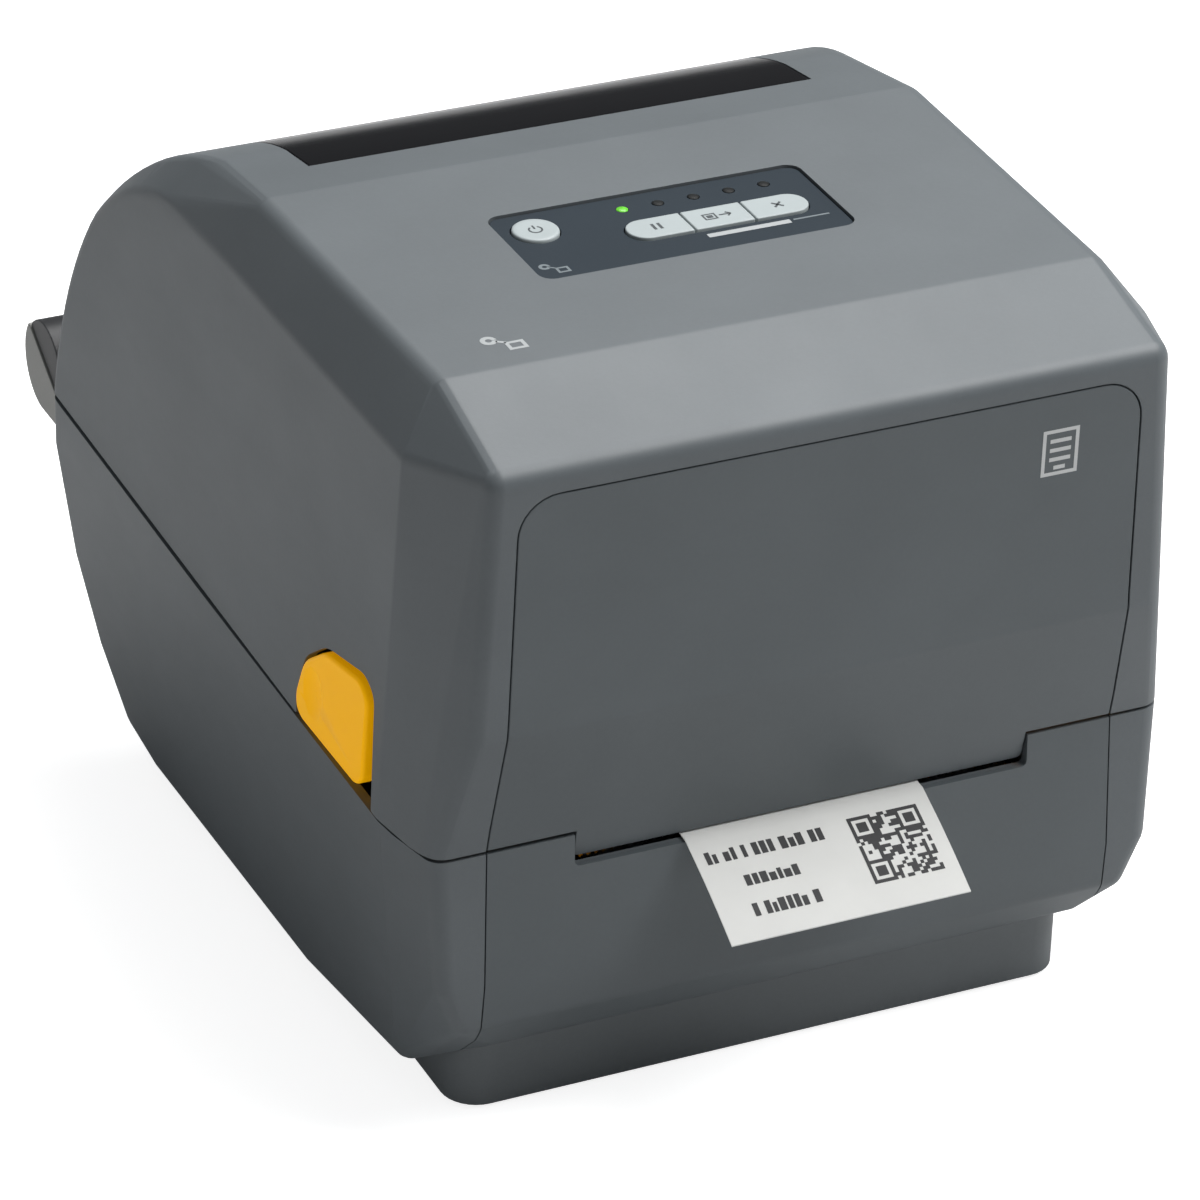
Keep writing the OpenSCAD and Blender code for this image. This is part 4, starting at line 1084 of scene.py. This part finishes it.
def build_hinge():
    """Dark knuckles with a paler outer cap and a bush round the pin, and the cheeks over them."""
    low, high = box("hinge_knuckles")
    r = HINGE_Z - low.z
    inner, outer = high.x - KNUCKLE_W, high.x
    finishes = ((inner, outer - CAP_T - 0.1, BLACK), (outer - CAP_T, outer, TAUPE))
    start, end = inner, outer - CAP_T - 0.05
    bush = (
        (start, PIN_R), (start, BUSH_R - 0.25), (start + 0.3, BUSH_R), (end - 0.25, BUSH_R),
        (end, BUSH_R - 0.25), (end, PIN_R), (start, PIN_R),
    )
    outline = [(110, 83.2), (110, low.z)] + arc(HINGE_Y, HINGE_Z, r, 270, 399.8, 26) + [(117, 83.2)]
    bore = arc(HINGE_Y, HINGE_Z, BUSH_R + 0.05, 0, 350, 35)
    cheek_outline = arc(HINGE_Y, HINGE_Z, r - 0.4, 41, 202, 20)
    blocks, rings, cheeks = [], [], []
    for side in (-1, 1):
        for near, far, finish in finishes:
            block = prism("knuckle", outline, "x", *along_x(side, near, far), finish)
            boolean(block, form("cutter", BASE, EDGE_R + 0.1))
            if finish == BLACK:
                boolean(block, prism("cutter", bore, "x", *along_x(side, inner - 1, outer - 1)))
            round_edges(block, 0.4, 3)
            blocks.append(block)
        rings.append(lathe("bush", [(side * x, y) for x, y in bush], HINGE_Y, HINGE_Z, BLACK))
        cheek = prism("cheek", cheek_outline, "x", *along_x(side, inner, outer - 0.5), BLACK)
        round_edges(cheek, 0.4)
        cheeks.append(cheek)
    settle(join("hinge_blocks", blocks), "hinge_knuckles")
    settle(join("hinge_cheeks", cheeks), "chassis", replace=False)
    settle(join("hinge_bushes", rings), "hinge_pins", replace=False)


build_hinge()


# -------- head springs

SPRING_R, WIRE_R, COILS = 3.45, 0.42, 5


def coil(x, y, low, high, sides=10, per_turn=28):
    """Compression spring along Z with closed ends."""
    steps = COILS * per_turn
    bm = bmesh.new()
    rings = []
    for k in range(steps + 1):
        t = k / steps
        lift = min(max((t - 0.12) / 0.76, 0), 1)
        z = low + WIRE_R + (high - low - 2 * WIRE_R) * lift
        a = 2 * math.pi * COILS * t
        out = Vector((math.cos(a), math.sin(a), 0))
        ring = []
        for j in range(sides):
            b = 2 * math.pi * j / sides
            spoke = out * (SPRING_R + WIRE_R * math.cos(b))
            ring.append(bm.verts.new(Vector((x, y, z)) + spoke + Vector((0, 0, WIRE_R * math.sin(b)))))
        rings.append(ring)
    skin(bm, rings)
    return to_object("spring", bm, STEEL, angle=60)


def build_springs():
    low, high = box("head_springs")
    y = (low.y + high.y) / 2
    piece = join("spring_coils", [coil(x, y, low.z, high.z) for x in (low.x + 4, high.x - 4)])
    settle(piece, "head_springs")
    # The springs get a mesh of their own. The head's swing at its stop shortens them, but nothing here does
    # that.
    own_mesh(piece)


build_springs()


# -------- CAD nodes with eased edges

def eased(node, width, mat):
    """Copy of a CAD node with its sharp edges rounded, in place of the node."""
    bm = bmesh.new()
    bm.from_mesh(frame["nodes"][node].data)
    bmesh.ops.scale(bm, vec=(1 / MM, 1 / MM, 1 / MM), verts=bm.verts)
    bmesh.ops.remove_doubles(bm, verts=bm.verts, dist=1e-3)
    dissolve(bm, 1.0)
    piece = to_object(node + "_eased", bm, mat)
    round_edges(piece, width, limit=40)
    settle(piece, node)


EASED = {
    "chassis": (0.4, BLACK), "media_tray": (0.4, BLACK), "ribbon_frame": (0.5, BLACK),
    "lid_hinge_arms": (0.5, BLACK), "latch_catches": (0.4, BLACK), "rear_panel": (0.4, DARK),
    "data_ports": (0.2, PLATED), "printhead": (0.4, ALUMINIUM), "stepper_motor": (0.5, MOTOR),
    "ribbon_motor": (0.5, PLATED), "media_sensor": (0.4, HUB), "main_board": (0.12, BOARD),
    "control_board": (0.12, BOARD), "roll_holder_left": (0.4, DARK), "roll_holder_right": (0.4, DARK),
    "media_guide_left": (0.4, DARK), "media_guide_right": (0.4, DARK), "power_inlet": (0.3, BLACK),
}
for node_name, (ease, finish) in EASED.items():
    eased(node_name, ease, finish)


# -------- contacts inside the rear sockets

# Insides of the ports in data_ports, as (left, right, bottom, top)
DEVICE, HOST = (-42, -30, 34, 45), (-20, -6.5, 37, 43.5)
NETWORK, SERIAL = (6, 22.5, 33.5, 47.5), (34, 65, 34, 46.5)
PORT_DEPTH, PORT_WALL, PORT_BACK = 8, 1.45, 1.2
WIRE_PITCH, PIN_PITCH = 1.16, 2.77


def build_contacts():
    """Insulating blocks and contacts inside the shells of data_ports."""
    front = box("data_ports")[1].y
    back = front - PORT_DEPTH
    tongue = back + PORT_BACK

    def block(port, inset_x, inset_z, start, end, mat=BLACK, lift=0.0):
        x0, x1, z0, z1 = port
        low = (x0 + inset_x, start, z0 + inset_z + lift)
        return cuboid("block", low, (x1 - inset_x, end, z1 - inset_z + lift), mat)

    pieces = [block(port, PORT_WALL, PORT_WALL, back, tongue) for port in (DEVICE, HOST, NETWORK, SERIAL)]
    pieces.append(block(DEVICE, 3.4, 3.9, tongue, front - 1.2, ACETAL))
    pieces.append(block(HOST, 2.0, 2.5, tongue, front - 1.0, ACETAL, 0.9))
    pieces.append(block(SERIAL, 4.0, 2.6, tongue, front - 1.6))
    top = NETWORK[3] - 3.0
    for k in range(8):
        x = NETWORK[0] + 4.2 + k * WIRE_PITCH
        pieces.append(cuboid("contact", (x, tongue, top - 0.4), (x + 0.45, front - 2.5, top), BRASS))
    x, z = (SERIAL[0] + SERIAL[1]) / 2, (SERIAL[2] + SERIAL[3]) / 2
    for row, count in ((1.4, 5), (-1.4, 4)):
        places = [x + (k - (count - 1) / 2) * PIN_PITCH for k in range(count)]
        holes = [arc(place, z + row, 0.55, 0, 330, 11) for place in places]
        pieces.append(prisms("contact", holes, "y", front - 1.7, front - 1.45, BRASS))
    settle(join("socket_contacts", pieces), "data_ports", replace=False)


build_contacts()


# -------- CAD nodes that keep their shape

# Colours of what is wound, of a layer's face and of its edge
PAPER_FACE, PAPER_EDGE = (0.80, 0.79, 0.75), (0.60, 0.57, 0.49)
FILM_FACE, FILM_EDGE = (0.014, 0.014, 0.016), (0.03, 0.03, 0.034)
FINISHES = (
    (STEEL, ("tear_bar", "hinge_pins", "platen_shaft", "head_pivot_rod", "latch_shaft")),
    (ACETAL, ("platen_bearings", "platen_gear", "idler_gear", "ribbon_idler")),
    (ACETAL, ("holder_pinion", "guide_pinion")),
    (BRASS, ("motor_pinion", "ribbon_motor_pinion")),
    (LINER, ("label_web", "roll_core")),
    (HUB, ("supply_spindle", "supply_hub", "takeup_spindle", "takeup_hub")),
    (RUBBER, ("platen_rubber",)),
    (RIBBON, ("ribbon_film",)),
    (wound("roll_of_labels", PAPER_FACE, PAPER_EDGE, "roll_spin", 0.5), ("label_roll",)),
    (wound("ribbon_supply", FILM_FACE, FILM_EDGE, "supply_spin", 0.3, 0.25), ("supply_ribbon",)),
    (wound("ribbon_takeup", FILM_FACE, FILM_EDGE, "takeup_spin", 0.3, 0.25), ("takeup_ribbon",)),
)
for finish, node_names in FINISHES:
    for node_name in node_names:
        mesh = frame["nodes"][node_name].data
        mesh.materials.clear()
        mesh.materials.append(finish)


# -------- stage

EYE = (-596, -1219, 853)
YAW, PITCH, ROLL = math.radians(26.11), math.radians(30.04), math.radians(2.16)
LENS = 188.6


def look():
    """Camera at EYE that looks along YAW from +Y towards +X, down by PITCH and turned by ROLL."""
    cam = bpy.data.cameras.new("camera")
    cam.lens = LENS
    cam.clip_start = 0.05
    cam.clip_end = 20
    obj = new_object("camera", cam)
    flat = math.cos(PITCH)
    ahead = Vector((math.sin(YAW) * flat, math.cos(YAW) * flat, -math.sin(PITCH)))
    right = Vector((math.cos(YAW), -math.sin(YAW), 0))
    up = right.cross(ahead)
    across = right * math.cos(ROLL) + up * math.sin(ROLL)
    upward = up * math.cos(ROLL) - right * math.sin(ROLL)
    turn = Matrix((across, upward, -ahead)).transposed()
    obj.matrix_world = Matrix.Translation(Vector(EYE) * MM) @ turn.to_4x4()
    bpy.context.scene.camera = obj


look()


def softbox(name, place, target, size, power):
    """Rectangular area light at place that faces target, both in metres."""
    light = bpy.data.lights.new(name, "AREA")
    light.shape = "RECTANGLE"
    light.size, light.size_y = size
    light.energy = power
    obj = new_object(name, light)
    obj.location = place
    obj.rotation_euler = (Vector(target) - Vector(place)).to_track_quat("-Z", "Y").to_euler()


def pale_floor(lift):
    """Pale matt floor; lift brightens what the camera sees, so that only soft shadows stay."""
    mat, tree, bsdf = shader("pale_floor")
    tone = noise(tree, coords(tree), 300, 2)
    tree.links.new(blend(tree, tone, (0.68, 0.68, 0.68), (0.71, 0.71, 0.71)), bsdf.inputs["Base Color"])
    fill(bsdf, {"Roughness": 0.9, "Specular IOR Level": 0.1, "Emission Color": (1, 1, 1, 1)})
    path = tree.nodes.new("ShaderNodeLightPath")
    seen = tree.nodes.new("ShaderNodeMath")
    seen.operation = "MULTIPLY"
    seen.inputs[1].default_value = lift
    tree.links.new(path.outputs["Is Camera Ray"], seen.inputs[0])
    tree.links.new(seen.outputs[0], bsdf.inputs["Emission Strength"])
    return mat


def floor(reach, lift):
    bm = bmesh.new()
    bmesh.ops.create_grid(bm, x_segments=1, y_segments=1, size=reach)
    obj = to_object("floor", bm, pale_floor(lift), soft=False)


def studio(seen, glow):
    """World that the camera sees at strength seen, and that lights the object at strength glow."""
    world = bpy.data.worlds.new("studio")
    world.use_nodes = True
    tree = world.node_tree
    out = tree.nodes["World Output"]
    dim = tree.nodes["Background"]
    fill(dim, {"Color": (0.94, 0.97, 1, 1), "Strength": glow})
    bright = tree.nodes.new("ShaderNodeBackground")
    fill(bright, {"Color": (1, 1, 1, 1), "Strength": seen})
    path = tree.nodes.new("ShaderNodeLightPath")
    mixer = tree.nodes.new("ShaderNodeMixShader")
    tree.links.new(path.outputs["Is Camera Ray"], mixer.inputs[0])
    tree.links.new(dim.outputs[0], mixer.inputs[1])
    tree.links.new(bright.outputs[0], mixer.inputs[2])
    tree.links.new(mixer.outputs[0], out.inputs[0])
    bpy.context.scene.world = world


floor(reach=6000, lift=0.84)
studio(seen=1.0, glow=0.2)
bpy.context.scene.view_settings.view_transform = "Standard"
AIM = (0, 0, 0.1)
softbox("top_light", (0.8, -0.35, 1.5), AIM, (1.1, 1.1), power=30)
softbox("rear_light", (0.45, 0.65, 1.5), AIM, (0.8, 0.8), power=13)
softbox("low_light", (-1.4, 0.1, 0.12), AIM, (1.2, 0.25), power=1.2)
